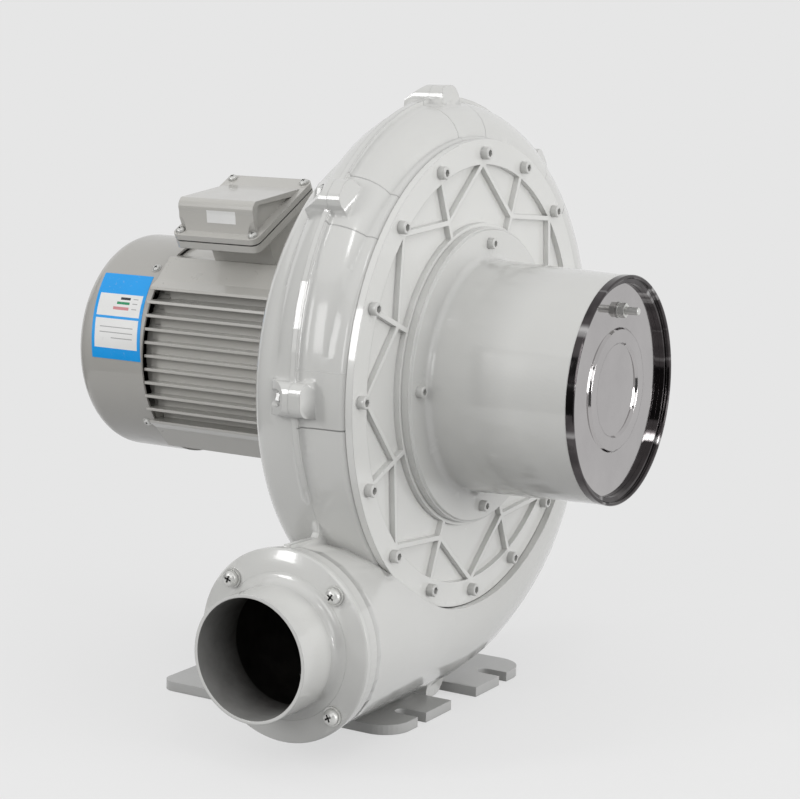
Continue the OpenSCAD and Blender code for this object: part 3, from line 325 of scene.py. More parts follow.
def sprayed(name, ground, rough, edge, swell, peel, wear=0.3, dust_and_shade=0.18, pads=None):
    """Sprayed paint: orange peel, slow ripple, thin paint on edges, and corners darkened by painted shade
    mixed with dirt.
    """
    material, tree, surface = blank(name)
    base = tint(tree, (*ground, 1), noise(tree, 11, 3), 0.02)
    rounded = bevel(tree, edge, 6)
    patches = spread(tree, noise(tree, 160, 4, 0.6), 0.42, 0.66, 0.15, 1)
    thin = times(tree, edge_share(tree, bevel(tree, 0.0004)), patches)
    lighter = tuple(min(1, c * 1.22 + 0.03) for c in ground)
    base = mixed(tree, times(tree, thin, wear), base, (*lighter, 1))
    # Painted shade: occlusion darkens the paint in corners and recesses, broken up a little by noise as dirt
    corner = spread(tree, openness(tree, 0.009), 0.35, 0.95, 1, 0)
    dust_and_shade_mask = times(tree, corner, grain(tree, 0.6, 1, 60, 3))
    dust_and_shade_tone = tuple(c * 0.5 for c in ground)
    base = mixed(tree, times(tree, dust_and_shade_mask, dust_and_shade), base, (*dust_and_shade_tone, 1))
    streak = grain(tree, rough - 0.04, rough + 0.05, 34, 4, 0.6)
    dull = sum_of(tree, "ADD", streak, times(tree, dust_and_shade_mask, 0.25))
    fill(tree, surface, Base_Color=base, Roughness=dull, Coat_Weight=0.7, Coat_Roughness=0.06)
    layers = [(noise(tree, 26, 2), swell), (noise(tree, 520, 2), peel)]
    if pads:
        layers.insert(0, (pad_field(tree, pads), pads.pad))
    fill(tree, surface, Normal=bumps(tree, rounded, *layers))
    return material


# Lugs round the casing, and the turn in radians over which the edge of a pad falls away
LUGS = 8
PAD_SLOPE = 0.006


def pad_field(tree, paint):
    """Height of the raised pads: 1 near each lug's clock angle on the front of the casing, 0 between."""
    across, height = parts_of(tree, in_object(tree))[1:]
    up = sum_of(tree, "SUBTRACT", height, axis_height())
    away = sum_of(tree, "PINGPONG", sum_of(tree, "ARCTAN2", across, up), math.pi / LUGS)
    upper = sum_of(tree, "GREATER_THAN", up, paint.pad_low)
    step = spread(tree, away, paint.pad_half, paint.pad_half + PAD_SLOPE, 1, 0)
    return times(tree, upper, step)


def bore_paint_and_shade(name, ground, skin, shade_falloff):
    """Paint that reaches a little way into the outlet, fading into near-black painted shade over the bare
    casting deeper in and on the casing's inner faces.
    """
    material, tree, surface = blank(name)
    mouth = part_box("outlet_spigot")[0][1]
    depth = parts_of(tree, in_object(tree))[1]
    ragged = sum_of(tree, "ADD", depth, grain(tree, -0.005, 0.005, 45, 4, 0.6))
    # Painted shade: the tone darkens from the outlet's mouth inwards, standing for the shade inside the bore
    reach = spread(tree, ragged, mouth, mouth + shade_falloff, 0.46, 0.0)
    base = mixed(tree, reach, tint(tree, (*skin, 1), noise(tree, 60, 4), 0.35), (*ground, 1))
    dull = grain(tree, 0.5, 0.7, 80, 3)
    rippled = bumps(tree, None, (noise(tree, 300, 3), 0.00012))
    fill(tree, surface, Base_Color=base, Roughness=dull, Specular_IOR_Level=0.12, Normal=rippled)
    return material


def metal(name, ground, rough, pitch, depth, edge, stain, rings=False, soot_and_shade=0, shine=1.0):
    """Bare or plated metal: fine marks of the tool, a little stain, and recesses darkened by painted shade
    mixed with dirt.
    """
    material, tree, surface = blank(name)
    marks = noise(tree, pitch, 3, 0.6, turned_place(tree) if rings else None)
    blot = noise(tree, 28, 4, 0.6)
    base = tint(tree, (*ground, 1), blot, stain)
    # Painted shade: occlusion darkens recesses, such as the screws' cross, towards near black
    if soot_and_shade:
        soot_and_shade_mask = spread(tree, openness(tree, 0.004), 0.25, 0.7, soot_and_shade, 0)
        base = mixed(tree, soot_and_shade_mask, base, (0.012, 0.011, 0.01, 1))
    scratched = spread(tree, marks, 0.3, 0.7, rough * 0.8, rough * 1.25)
    stained = spread(tree, blot, 0.5, 0.8, 0, rough * 0.5)
    dull = sum_of(tree, "ADD", scratched, stained)
    rippled = bumps(tree, bevel(tree, edge), (marks, depth))
    fill(tree, surface, Base_Color=base, Metallic=shine, Roughness=dull, Normal=rippled)
    return material


def turned_place(tree):
    """The distance from the shaft's axis and the place along it, so that marks run in rings."""
    along, across, height = parts_of(tree, in_object(tree))
    up = sum_of(tree, "SUBTRACT", height, axis_height())
    squares = sum_of(tree, "ADD", sum_of(tree, "POWER", up, 2), sum_of(tree, "POWER", across, 2))
    return joined(tree, X=sum_of(tree, "SQRT", squares), Y=along)


def rim_painted_reflections(name):
    """Rolled steel of the cap's rim with painted reflections: dark tones with narrow bright lines along the
    shaft.
    """
    material, tree, surface = blank(name)
    across, height = parts_of(tree, in_object(tree))[1:]
    clock = sum_of(tree, "ARCTAN2", across, sum_of(tree, "SUBTRACT", height, axis_height()))
    # Painted reflections: bright lines that stand for mirrored lamps, over a dark tone that stands for
    # mirrored surroundings
    painted_streaks = spread(tree, noise(tree, 2.6, 3, 0.6, joined(tree, X=clock)), 0.56, 0.66, 0, 1)
    dark = tint(tree, (0.075, 0.068, 0.07, 1), noise(tree, 60, 3), 0.3)
    base = mixed(tree, painted_streaks, dark, (0.55, 0.54, 0.54, 1))
    dull = grain(tree, 0.05, 0.12, 90, 3)
    rippled = bumps(tree, bevel(tree, 0.0005), (noise(tree, 120, 2), 0.00001))
    fill(tree, surface, Base_Color=base, Metallic=1.0, Roughness=dull, Normal=rippled)
    return material


def moulded(name, ground, rough, pitch, depth, edge=0.0006):
    """Rubber or moulded plastic with a fine grain and greyed edges."""
    material, tree, surface = blank(name)
    rounded = bevel(tree, edge)
    patches = spread(tree, noise(tree, 240, 3), 0.4, 0.7, 0, 1)
    worn = times(tree, edge_share(tree, rounded), patches)
    base = tint(tree, (*ground, 1), noise(tree, 40, 3), 0.15)
    pale = tuple(min(1, c * 2 + 0.03) for c in ground)
    base = mixed(tree, times(tree, worn, 0.5), base, (*pale, 1))
    dull = grain(tree, rough - 0.06, rough + 0.08, 90, 2)
    rippled = bumps(tree, rounded, (noise(tree, pitch, 2), depth))
    fill(tree, surface, Base_Color=base, Roughness=dull, Normal=rippled)
    return material


# Panels and bars of the plate, each (left, low, right, high) as shares of its width and height
LOWER_PANEL = (0.06, 0.12, 0.94, 0.45)
UPPER_PANEL = (0.06, 0.48, 0.94, 0.74)
BLACK, GREEN, PINK, GREY = (0.02, 0.02, 0.03), (0.02, 0.28, 0.12), (0.62, 0.25, 0.27), (0.36, 0.36, 0.36)
PLATE_BARS = (
    (0.50, 0.675, 0.70, 0.705, BLACK), (0.44, 0.62, 0.70, 0.65, GREEN), (0.38, 0.555, 0.70, 0.59, PINK),
    (0.76, 0.685, 0.86, 0.695, GREY), (0.76, 0.63, 0.86, 0.64, GREY), (0.76, 0.567, 0.86, 0.577, GREY),
    (0.16, 0.35, 0.84, 0.36, GREY), (0.16, 0.29, 0.84, 0.30, GREY), (0.40, 0.23, 0.84, 0.24, GREY),
)


def block(tree, across, up, left, low, right, high):
    """1 inside an upright rectangle of a film's own UV map, 0 outside."""
    inside = 1.0
    for test, place, limit in (
        ("GREATER_THAN", across, left), ("LESS_THAN", across, right),
        ("GREATER_THAN", up, low), ("LESS_THAN", up, high),
    ):
        inside = times(tree, inside, sum_of(tree, test, place, limit))
    return inside


def printed(name, ground, panel, bars=()):
    """A printed film: a ground with two pale panels, plain bars, a thin coat and small scuffs."""
    material, tree, surface = blank(name)
    film = parts_of(tree, tree.nodes.new("ShaderNodeUVMap").outputs["UV"])[:2]
    panels = sum_of(tree, "ADD", block(tree, *film, *LOWER_PANEL), block(tree, *film, *UPPER_PANEL))
    base = mixed(tree, panels, (*ground, 1), (*panel, 1))
    for *place, ink in bars:
        base = mixed(tree, block(tree, *film, *place), base, (*ink, 1))
    worn = spread(tree, noise(tree, 260, 4, 0.6), 0.62, 0.75, 0, 0.35)
    base = mixed(tree, worn, tint(tree, base, noise(tree, 30, 3), 0.03), (0.6, 0.6, 0.59, 1))
    dull = grain(tree, 0.3, 0.44, 120, 3)
    rippled = bumps(tree, None, (noise(tree, 90, 2), 0.00003))
    fill(tree, surface, Base_Color=base, Roughness=dull, Coat_Weight=0.1, Normal=rippled)
    return material


# Metals: name, colour, roughness, marks per metre, their depth, rounding of edges and stain.
# Then, where a metal has them: rings, painted shade with dirt in recesses, and metallic share.
METALS = {
    "polished": ("polished_steel", (0.47, 0.455, 0.455), 0.07, 900, 0.000004, 0.0008, 0.05, True),
    "zinc": ("zinc_plate", (0.66, 0.66, 0.64), 0.34, 700, 0.00002, 0.0003, 0.1, False, 0.95, 0.6),
    "bare_steel": ("ground_steel", (0.44, 0.44, 0.45), 0.24, 1400, 0.00001, 0.0004, 0.1, True),
    "bare_aluminium": ("cast_aluminium", (0.6, 0.61, 0.62), 0.42, 500, 0.00008, 0.0006, 0.1),
    "copper": ("enamelled_copper", (0.5, 0.17, 0.06), 0.3, 300, 0.0001, 0.0005, 0.2),
    "brass_posts": ("brass", (0.6, 0.42, 0.16), 0.26, 900, 0.00002, 0.0004, 0.12),
}

# Nodes that don't wear the finish of their slot in the record
OWN_LOOKS = {"inlet_cap_band": "painted_reflection_rim", "inlet_cover": "cover_paint"}

FINISH = {}


def finishes():
    """The materials, made once: one for each slot in the record, and a few more."""
    if FINISH:
        return FINISH
    paint = bpy.context.scene.fan_paint
    peel = paint.peel
    cast = {"rough": paint.gloss, "edge": paint.edge, "swell": paint.swell, "peel": peel}
    cover = [c * paint.cover for c in paint.cast]
    screw = [c * paint.screw for c in paint.cast]
    FINISH["cast_paint"] = sprayed("cast_paint_sprayed", paint.cast, **cast)
    FINISH["padded_cast_paint"] = sprayed("cast_paint_with_pads", paint.cast, **cast, pads=paint)
    FINISH["cover_paint"] = sprayed("cover_paint_sprayed", cover, **cast)
    FINISH["screw_paint"] = sprayed("screw_paint_sprayed", screw, 0.3, 0.0004, 0.00004, peel, 0.6, 0.5)
    FINISH["motor_paint"] = sprayed("motor_paint_sprayed", paint.motor, 0.3, 0.0009, 0.0001, peel, 0.3, 0.05)
    thin = peel * 0.7
    FINISH["cowl_paint"] = sprayed("cowl_paint_sprayed", paint.cowl, 0.36, 0.0008, 0.00008, thin, 0.25, 0.3)
    FINISH["casting_skin"] = bore_paint_and_shade("casting_skin_in_bores", paint.cast, paint.skin, paint.shade_falloff)
    FINISH["base_paint"] = sprayed("base_paint_sprayed", paint.base, 0.42, 0.0012, 0.0001, peel, 0.4, 0.3)
    FINISH["painted_reflection_rim"] = rim_painted_reflections("polished_rim_painted_reflections")
    for slot, row in METALS.items():
        FINISH[slot] = metal(*row)
    FINISH["black_rubber"] = moulded("black_rubber", (0.018, 0.018, 0.019), 0.62, 420, 0.00012)
    FINISH["black_plastic"] = moulded("black_plastic", (0.03, 0.03, 0.032), 0.44, 700, 0.00005)
    return FINISH


# Shapes


def merged_copy(node):
    """A CAD node's mesh as one joined bmesh, because the node itself is loose triangles."""
    shape = bmesh.new()
    shape.from_mesh(frame["nodes"][node].data)
    bmesh.ops.remove_doubles(shape, verts=shape.verts, dist=1e-6)
    return shape


def settle(piece, body, slot, *stands_for):
    """Gives a finished piece its body and hides the CAD nodes that it stands for. Its slot is not used."""
    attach(piece, body)
    if stands_for:
        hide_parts(*stands_for)


def mesh_of(shape, name):
    """The mesh of a bmesh, which is freed."""
    mesh = bpy.data.meshes.new(name)
    shape.to_mesh(mesh)
    shape.free()
    return mesh


def put(name, data):
    """A new object in the scene."""
    piece = bpy.data.objects.new(name, data)
    bpy.context.scene.collection.objects.link(piece)
    return piece


def object_of(name, mesh, *materials):
    """An object at the origin with this mesh and these materials."""
    piece = put(name, mesh)
    for material in materials:
        mesh.materials.append(material)
    return piece


# Nodes that close the scroll
SCROLL = (
    "rear_casing", "front_casing", "front_shield",
    "inlet_cover", "inlet_pipe", "inlet_cap_disc", "outlet_spigot",
)


def scroll_walls():
    """The faces of the nodes that close the scroll, in one search tree."""
    walls = bmesh.new()
    for name in SCROLL:
        walls.from_mesh(frame["nodes"][name].data)
    tree = BVHTree.FromBMesh(walls)
    walls.free()
    return tree


def bore_test(node, slack=0.0015, level=0.5):
    """A test for faces on the wall of the bore that runs along Y through the middle of a node."""
    middle = Vector(middle_of(node))

    def reach(spot):
        return math.hypot(spot.x - middle.x, spot.z - middle.z)

    shape = merged_copy(node)
    wall = min(reach(corner.co) for corner in shape.verts) + slack
    shape.free()
    return lambda face: reach(face.calc_center_median()) < wall and abs(face.normal.y) < level


# Casing halves: the share of rays that may get out from an inner face, and the side that is open
HALVES = {"rear_casing": (0.1, 1), "front_casing": (0.07, -1)}


def half_test(node, around):
    """A test for the inner faces of one casing half, which don't look away from its open side."""
    share, opening = HALVES[node]
    return lambda face: face.normal.x * opening > -0.4 and is_inside(face, around, share)


# Rays of the test for inner faces: count, gap at the start, spread, turn between two, least mean length
RAYS = 16
RAY_GAP = 0.0002
RAY_SPREAD = 0.9
RAY_TURN = 2.39996
RAY_LENGTH = 0.02


def is_inside(face, around, share):
    """Whether few rays from a face get out of the fan, and the others go some way before they stop."""
    way = face.normal
    side = way.orthogonal().normalized()
    other = way.cross(side)
    start = face.calc_center_median() + way * RAY_GAP
    free, far = 0, 0.0
    for step in range(RAYS):
        lean = math.acos(1 - RAY_SPREAD * (step + 0.5) / RAYS)
        turn = step * RAY_TURN
        ray = way * math.cos(lean) + (side * math.cos(turn) + other * math.sin(turn)) * math.sin(lean)
        hit = around.ray_cast(start, ray)
        if hit[0] is None:
            free += 1
        else:
            far += hit[3]
    return free <= RAYS * share and far / max(1, RAYS - free) > RAY_LENGTH


def soften(mesh, degrees):
    """Smooth shading that keeps edges sharper than an angle."""
    mesh.shade_smooth()
    mesh.set_sharp_from_angle(angle=math.radians(degrees))


def solids(node):
    """The separate solids of a CAD node, each as the places of its corners."""
    shape = merged_copy(node)
    left, found = set(shape.verts), []
    while left:
        group = [left.pop()]
        for spot in group:
            for link in spot.link_edges:
                other = link.other_vert(spot)
                if other in left:
                    left.discard(other)
                    group.append(other)
        found.append([spot.co.copy() for spot in group])
    shape.free()
    return sorted(found, key=lambda group: tuple(round(min(c[i] for c in group), 5) for i in range(3)))


# Geometry trees


def wire(tree, kind, *labels, way="INPUT"):
    """Adds named sockets of one kind to a tree's interface."""
    for label in labels:
        tree.interface.new_socket(label, in_out=way, socket_type="NodeSocket" + kind)


def rounded_top(tree, mesh, top, height, first, steps):
    """Closes a disc's top face with rings that follow a quarter ellipse, down to a share of its radius."""
    last = math.acos(first)
    reach, rise = 1.0, 0.0
    for step in range(1, steps + 1):
        lean = last * step / steps
        wide, tall = math.cos(lean), math.sin(lean) / math.sin(last)
        pull = add(tree, "GeometryNodeExtrudeMesh", {"mode": "FACES"}, Mesh=mesh, Selection=top)
        feed(tree, pull.inputs["Offset Scale"], times(tree, height, tall - rise))
        mesh, top = pull.outputs["Mesh"], pull.outputs["Top"]
        draw = add(tree, "GeometryNodeScaleElements", Geometry=mesh, Selection=top, Scale=wide / reach)
        mesh, reach, rise = draw.outputs[0], wide, tall
    return mesh


def cylinder(tree, sides, radius, depth):
    """A cylinder about its own middle."""
    return add(tree, "GeometryNodeMeshCylinder", Vertices=sides, Radius=radius, Depth=depth)


def lifted(tree, mesh, height):
    """A mesh moved up along its own axis."""
    place = joined(tree, Z=height)
    return add(tree, "GeometryNodeTransform", Geometry=mesh, Translation=place).outputs[0]


# For each recess: the flat top's radius as a share of the head's, and the steps of the rounding
TOPS = {"hex": (0.88, 1), "none": (0.9, 1), "cross": (0.45, 4)}
# Width of one arm of a cross recess as a share of its length, and sides of a shank
CROSS_ARM = 0.24
SHANK_SIDES = 16
SCREW_SIZES = (
    "Head radius", "Head height", "Crown", "Recess width", "Recess depth",
    "Washer radius", "Washer height", "Shank radius", "Shank length",
)


def cutters_of(tree, recess, width, deep, top):
    """The solids that cut a recess: a hexagon, the two arms of a cross, or none."""
    if recess == "none":
        return []
    if recess == "hex":
        hexagon = cylinder(tree, 6, times(tree, width, 1 / math.sqrt(3)), deep)
        return [lifted(tree, hexagon.outputs["Mesh"], top)]
    arms = []
    for wide, thin in (("X", "Y"), ("Y", "X")):
        size = joined(tree, **{wide: width, thin: times(tree, width, CROSS_ARM), "Z": deep})
        arm = add(tree, "GeometryNodeMeshCube", Size=size)
        arms.append(lifted(tree, arm.outputs["Mesh"], top))
    return arms


def facing(tree, seed):
    """The rotation that points along each point's own way, after a chance turn about it."""
    way = add(tree, "GeometryNodeInputNamedAttribute", {"data_type": "FLOAT_VECTOR"}, Name="way")
    turn = add(tree, "FunctionNodeRandomValue", {"data_type": "FLOAT"}, Seed=seed)
    turn.inputs[3].default_value = 2 * math.pi
    aligned = add(tree, "FunctionNodeAlignRotationToVector", {"axis": "Z"}, Vector=way.outputs["Attribute"])
    own = tree.nodes.new("FunctionNodeEulerToRotation")
    feed(tree, own.inputs[0], joined(tree, Z=turn.outputs[1]))
    both = {"Rotation": aligned.outputs[0], "Rotate_By": own.outputs[0]}
    return add(tree, "FunctionNodeRotateRotation", {"rotation_space": "LOCAL"}, **both).outputs[0]


def screw_tree(name, recess):
    """A tree that stands a screw on each point: washer, head with its recess, and shank."""
    tree = bpy.data.node_groups.new(name, "GeometryNodeTree")
    wire(tree, "Geometry", "Points")
    wire(tree, "Float", *SCREW_SIZES)
    wire(tree, "Int", "Sides", "Seed")
    wire(tree, "Material", "Material")
    wire(tree, "Geometry", "Mesh", way="OUTPUT")
    given = tree.nodes.new("NodeGroupInput").outputs
    tall, low, deep = given["Head height"], given["Washer height"], given["Shank length"]
    straight = times(tree, tall, sum_of(tree, "SUBTRACT", 1.0, given["Crown"]))
    barrel = cylinder(tree, 6 if recess == "none" else given["Sides"], given["Head radius"], straight)
    raised = lifted(tree, barrel.outputs["Mesh"], sum_of(tree, "ADD", low, times(tree, straight, 0.5)))
    crown = times(tree, tall, given["Crown"])
    head = rounded_top(tree, raised, barrel.outputs["Top"], crown, *TOPS[recess])
    top = sum_of(tree, "ADD", tall, low)
    cutters = cutters_of(tree, recess, given["Recess width"], times(tree, given["Recess depth"], 2.0), top)
    if cutters:
        cut = add(tree, "GeometryNodeMeshBoolean", {"operation": "DIFFERENCE", "solver": "EXACT"})
        feed(tree, cut.inputs["Mesh 1"], head)
        for cutter in cutters:
            tree.links.new(cutter, cut.inputs["Mesh 2"])
        head = cut.outputs["Mesh"]
    ring = cylinder(tree, given["Sides"], given["Washer radius"], low)
    washer = lifted(tree, ring.outputs["Mesh"], times(tree, low, 0.5))
    rod = cylinder(tree, SHANK_SIDES, given["Shank radius"], deep)
    shank = lifted(tree, rod.outputs["Mesh"], times(tree, deep, -0.5))
    whole = tree.nodes.new("GeometryNodeJoinGeometry")
    for part in (shank, washer, head):
        tree.links.new(part, whole.inputs[0])
    stand = add(
        tree, "GeometryNodeInstanceOnPoints",
        Points=given["Points"], Instance=whole.outputs[0], Rotation=facing(tree, given["Seed"]),
    )
    real = add(tree, "GeometryNodeRealizeInstances", Geometry=stand.outputs[0])
    dressed = add(tree, "GeometryNodeSetMaterial", Geometry=real.outputs[0], Material=given["Material"])
    end = tree.nodes.new("NodeGroupOutput")
    tree.links.new(dressed.outputs[0], end.inputs[0])
    return tree


def grow(name, tree, places, ways, material, degrees=32, **sizes):
    """Runs a tree on points with directions, and keeps the result as a plain mesh at the origin."""
    seeds = bpy.data.meshes.new(name)
    seeds.from_pydata([tuple(p) for p in places], [], [])
    stored = seeds.attributes.new("way", "FLOAT_VECTOR", "POINT")
    stored.data.foreach_set("vector", [c for way in ways for c in way])
    piece = put(name, seeds)
    grower = piece.modifiers.new("grow", "NODES")
    grower.node_group = tree
    sockets = {item.name: item.identifier for item in tree.interface.items_tree if item.in_out == "INPUT"}
    grower[sockets["Material"]] = material
    for label, value in sizes.items():
        grower[sockets[label.replace("_", " ")]] = value
    bpy.context.view_layer.update()
    ready = piece.evaluated_get(bpy.context.evaluated_depsgraph_get())
    mesh = bpy.data.meshes.new_from_object(ready)
    mesh.name = name
    piece.modifiers.remove(grower)
    piece.data = mesh
    if mesh.attributes.get("way"):
        mesh.attributes.remove(mesh.attributes["way"])
    soften(mesh, degrees)
    if not mesh.polygons:
        raise RuntimeError(f"{name} came out empty")
    return piece


def outwards(spot):
    """The way from the shaft's axis out to a spot."""
    return Vector((0, spot.y, spot.z - axis_height())).normalized()


def seat_of(corners, way, head, clear=0.0005):
    """A screw's seat, head radius, shank radius and shank length, read from the corners of its CAD solid."""
    side = way.orthogonal().normalized()
    other = way.cross(side)
    middle = Vector((0, 0, 0))
    for axis in (side, other):
        spans = [corner.dot(axis) for corner in corners]
        middle += axis * (min(spans) + max(spans)) / 2
    heights = [corner.dot(way) for corner in corners]
    seat = max(heights) - head
    reach = [(corner - middle - way * height).length for corner, height in zip(corners, heights)]
    shank = max(r for r, h in zip(reach, heights) if h < seat - clear)
    return middle + way * seat, max(reach), shank, seat - min(heights)


def lay_sheet(name, node, net, lift, material, slot, gap=0.00002):
    """A thin closed film laid on a CAD node along a net of (start, way) rays, with its own UV map."""
    carrier = merged_copy(node)
    surface = BVHTree.FromBMesh(carrier)
    shape = bmesh.new()
    film = shape.loops.layers.uv.new("film")
    sheets = []
    for height in (lift, gap):
        rows = []
        for row in net:
            line = []
            for start, way in row:
                spot = surface.ray_cast(start, way)[0]
                if spot is None:
                    raise RuntimeError(f"{name} misses {node}")
                line.append(shape.verts.new(spot - way * height))
            rows.append(line)
        sheets.append(rows)
    carrier.free()
    tall, wide = len(net), len(net[0])
    top, under = sheets

    def cover(corners, spots):
        face = shape.faces.new(corners)
        for loop, (i, j) in zip(face.loops, spots):
            loop[film].uv = (j / (wide - 1), i / (tall - 1))

    for i in range(tall - 1):
        for j in range(wide - 1):
            ring = [(i, j), (i, j + 1), (i + 1, j + 1), (i + 1, j)]
            cover([top[a][b] for a, b in ring], ring)
            cover([under[a][b] for a, b in ring[::-1]], ring[::-1])
    rim = [(0, j) for j in range(wide)] + [(i, wide - 1) for i in range(1, tall)]
    rim += [(tall - 1, j) for j in range(wide - 2, -1, -1)] + [(i, 0) for i in range(tall - 2, 0, -1)]
    for (a, b), (c, d) in zip(rim, rim[1:] + rim[:1]):
        cover([top[a][b], under[a][b], under[c][d], top[c][d]], [(a, b), (a, b), (c, d), (c, d)])
    bmesh.ops.recalc_face_normals(shape, faces=shape.faces)
    mesh = mesh_of(shape, name)
    soften(mesh, 40)
    settle(object_of(name, mesh, material), "housing", slot)


def shifts(first, whole, steps):
    """Evenly stepped places along X, from the first one over a whole length."""
    return [Vector((first + whole * step / steps, 0, 0)) for step in range(steps + 1)]


def cowl_net(plates, rows=24, columns=6, away=0.2):
    """Rays for the plate: rows along the cowl, stepped round its front left."""
    net = []
    for row in range(rows + 1):
        share = row / rows
        turn = plates.head - (plates.head - plates.foot) * share
        way = Vector((0, math.sin(turn), -math.cos(turn)))
        start = Vector((0, 0, axis_height())) - way * away
        places = shifts(plates.start - plates.slant * share, plates.width, columns)
        net.append([(start + place, way) for place in places])
    return net


# Lean of the terminal box, and the way that its lid faces
TILT = math.radians(28.6)
BOX_WAY = (0, -math.sin(TILT), math.cos(TILT))


def lid_net(plates, rows=6, columns=6, away=0.05):
    """Rays for the label on the front of the terminal box's lid."""
    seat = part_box("terminal_gasket")[0]
    along = Vector((0, math.cos(TILT), math.sin(TILT)))
    front = Vector((middle_of("terminal_lid")[0], seat[1], seat[2])) - along * away
    places = shifts(plates.label_start, plates.label_wide, columns)
    net = []
    for row in range(rows + 1):
        start = front + Vector(BOX_WAY) * (plates.label_low + plates.label_tall * row / rows)
        net.append([(start + place, along) for place in places])
    return net


# Screws: name, CAD node, finish, recess, way of the heads, their height with washer, and the washer's
FASTENERS = (
    ("cover_socket_screws", "cover_screws", "screw_paint", "hex", (1, 0, 0), 0.006, 0),
    ("flange_socket_screws", "inlet_flange_screws", "screw_paint", "hex", (1, 0, 0), 0.0055, 0),
    ("outlet_cross_screws", "outlet_screws", "zinc", "cross", (0, -1, 0), 0.007, 0.0018),
    ("cowl_cross_screws", "cowl_screws", "zinc", "cross", outwards, 0.0024, 0.0005),
    ("lid_cross_screws", "lid_screws", "zinc", "cross", BOX_WAY, 0.0032, 0),
    ("clamp_hex_bolts", "clamp_bolts", "screw_paint", "none", (-1, 0, 0), 0.004, 0),
    ("base_hex_bolts", "base_bolts", "zinc", "none", (-1, 0, 0), 0.0053, 0),
    ("shield_hex_bolts", "shield_bolts", "zinc", "none", (-1, 0, 0), 0.0053, 0),
)


# A screw without a washer still has one of this height under its head
LEAST_WASHER = 0.00002


# Gap between the feet and the floor
FLOOR_GAP = 0.0005


# Operators


class FAN_OT_paint(bpy.types.Operator):
    """Give every CAD node its finish"""

    bl_idname = "fan.paint"
    bl_label = "Paint and Metal"

    def execute(self, context):
        looks = finishes()
        slots = {row["node"]: row["material_slot"] for row in frame["record"]["subparts"]}
        for name, node in frame["nodes"].items():
            look = looks[OWN_LOOKS.get(name, slots[name])]
            if node.material_slots:
                for place in node.material_slots:
                    place.material = look
            else:
                node.data.materials.append(look)
        return {"FINISHED"}


class FAN_OT_castings(bpy.types.Operator):
    """Make the casing halves and the outlet pipe with smooth cast faces, and insides darkened with painted
    shade
    """

    bl_idname = "fan.castings"
    bl_label = "Castings"

    def execute(self, context):
        looks = finishes()
        around = scroll_walls()
        for node in ("rear_casing", "front_casing", "outlet_spigot"):
            inner = half_test(node, around) if node in HALVES else bore_test(node)
            shape = merged_copy(node)
            for face in shape.faces:
                # Inner faces get the near-black painted shade of the insides
                face.material_index = int(inner(face))
            mesh = mesh_of(shape, node + "_cast")
            soften(mesh, 24)
            finish = "padded_cast_paint" if node == "front_casing" else "cast_paint"
            piece = object_of(node + "_cast", mesh, looks[finish], looks["casting_skin"])
            settle(piece, "housing", "cast_paint", node)
        self.fill_root(context.scene.fan_paint.root, looks["cast_paint"])
        return {"FINISHED"}

    def fill_root(self, size, look):
        """A hollow-faced ring of cast metal where the outlet pipe leaves its flange."""
        centre = Vector(middle_of("outlet_spigot"))
        centre.y = 0
        casting = merged_copy("outlet_spigot")
        tree = BVHTree.FromBMesh(casting)
        beside_pipe, before_mouth, past_flange, clear = 0.067, 0.05, 0.12, 0.004
        start = centre + Vector((beside_pipe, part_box("outlet_spigot")[0][1] - before_mouth, 0))
        face = tree.ray_cast(start, Vector((0, 1, 0)))[0].y
        start = centre + Vector((past_flange, face - size - clear, 0))
        pipe = tree.ray_cast(start, Vector((-1, 0, 0)))[0].x - centre.x
        casting.free()
        sunk, proud = 0.0004, 0.00002
        arc_steps, ring_steps = 12, 144
        profile = [(pipe - sunk, face + sunk), (pipe + size, face + sunk)]
        for step in range(arc_steps + 1):
            turn = math.radians(90 * step / arc_steps)
            depth = face - size + size * math.cos(turn) - proud
            profile.append((pipe + size - size * math.sin(turn), depth))
        profile.append((pipe - sunk, face - size))
        shape = bmesh.new()
        rings = []
        for step in range(ring_steps):
            turn = math.tau * step / ring_steps
            right, up = math.cos(turn), math.sin(turn)
            spots = [(centre.x + reach * right, y, centre.z + reach * up) for reach, y in profile]
            rings.append([shape.verts.new(spot) for spot in spots])
        for ring, after in zip(rings, rings[1:] + rings[:1]):
            for place in range(len(profile)):
                onward = (place + 1) % len(profile)
                shape.faces.new((ring[place], ring[onward], after[onward], after[place]))
        bmesh.ops.recalc_face_normals(shape, faces=shape.faces)
        mesh = mesh_of(shape, "outlet_root_fillet")
        soften(mesh, 30)
        settle(object_of("outlet_root_fillet", mesh, look), "housing", "cast_paint")


class FAN_OT_fasteners(bpy.types.Operator):
    """Stand the screws and bolts in their CAD places"""

    bl_idname = "fan.fasteners"
    bl_label = "Screws and Bolts"

    def execute(self, context):
        sizes = context.scene.fan_fasteners
        trees = {recess: screw_tree(recess + "_screw", recess) for recess in ("hex", "cross", "none")}
        shares = {"hex": sizes.key, "cross": sizes.cross, "none": 0.0}
        for name, node, slot, recess, way, head, washer in FASTENERS:
            places, ways = [], []
            for corners in solids(node):
                spot = sum(corners, Vector()) / len(corners)
                lean = way(spot) if callable(way) else Vector(way)
                seat, wide, shank, deep = seat_of(corners, lean, head)
                places.append(seat)
                ways.append(lean)
            tall = head - washer
            radius = wide * (sizes.collar if washer else 1.0)
            crown = sizes.crown if recess == "cross" else sizes.chamfer
            piece = grow(
                name, trees[recess], places, ways, finishes()[slot],
                Head_radius=radius, Head_height=tall, Crown=crown,
                Recess_width=2 * radius * shares[recess], Recess_depth=tall * sizes.depth,
                Washer_radius=wide, Washer_height=max(washer, LEAST_WASHER),
                Shank_radius=shank, Shank_length=deep, Sides=sizes.sides, Seed=sizes.seed,
            )
            settle(piece, "housing", slot, node)
        return {"FINISHED"}


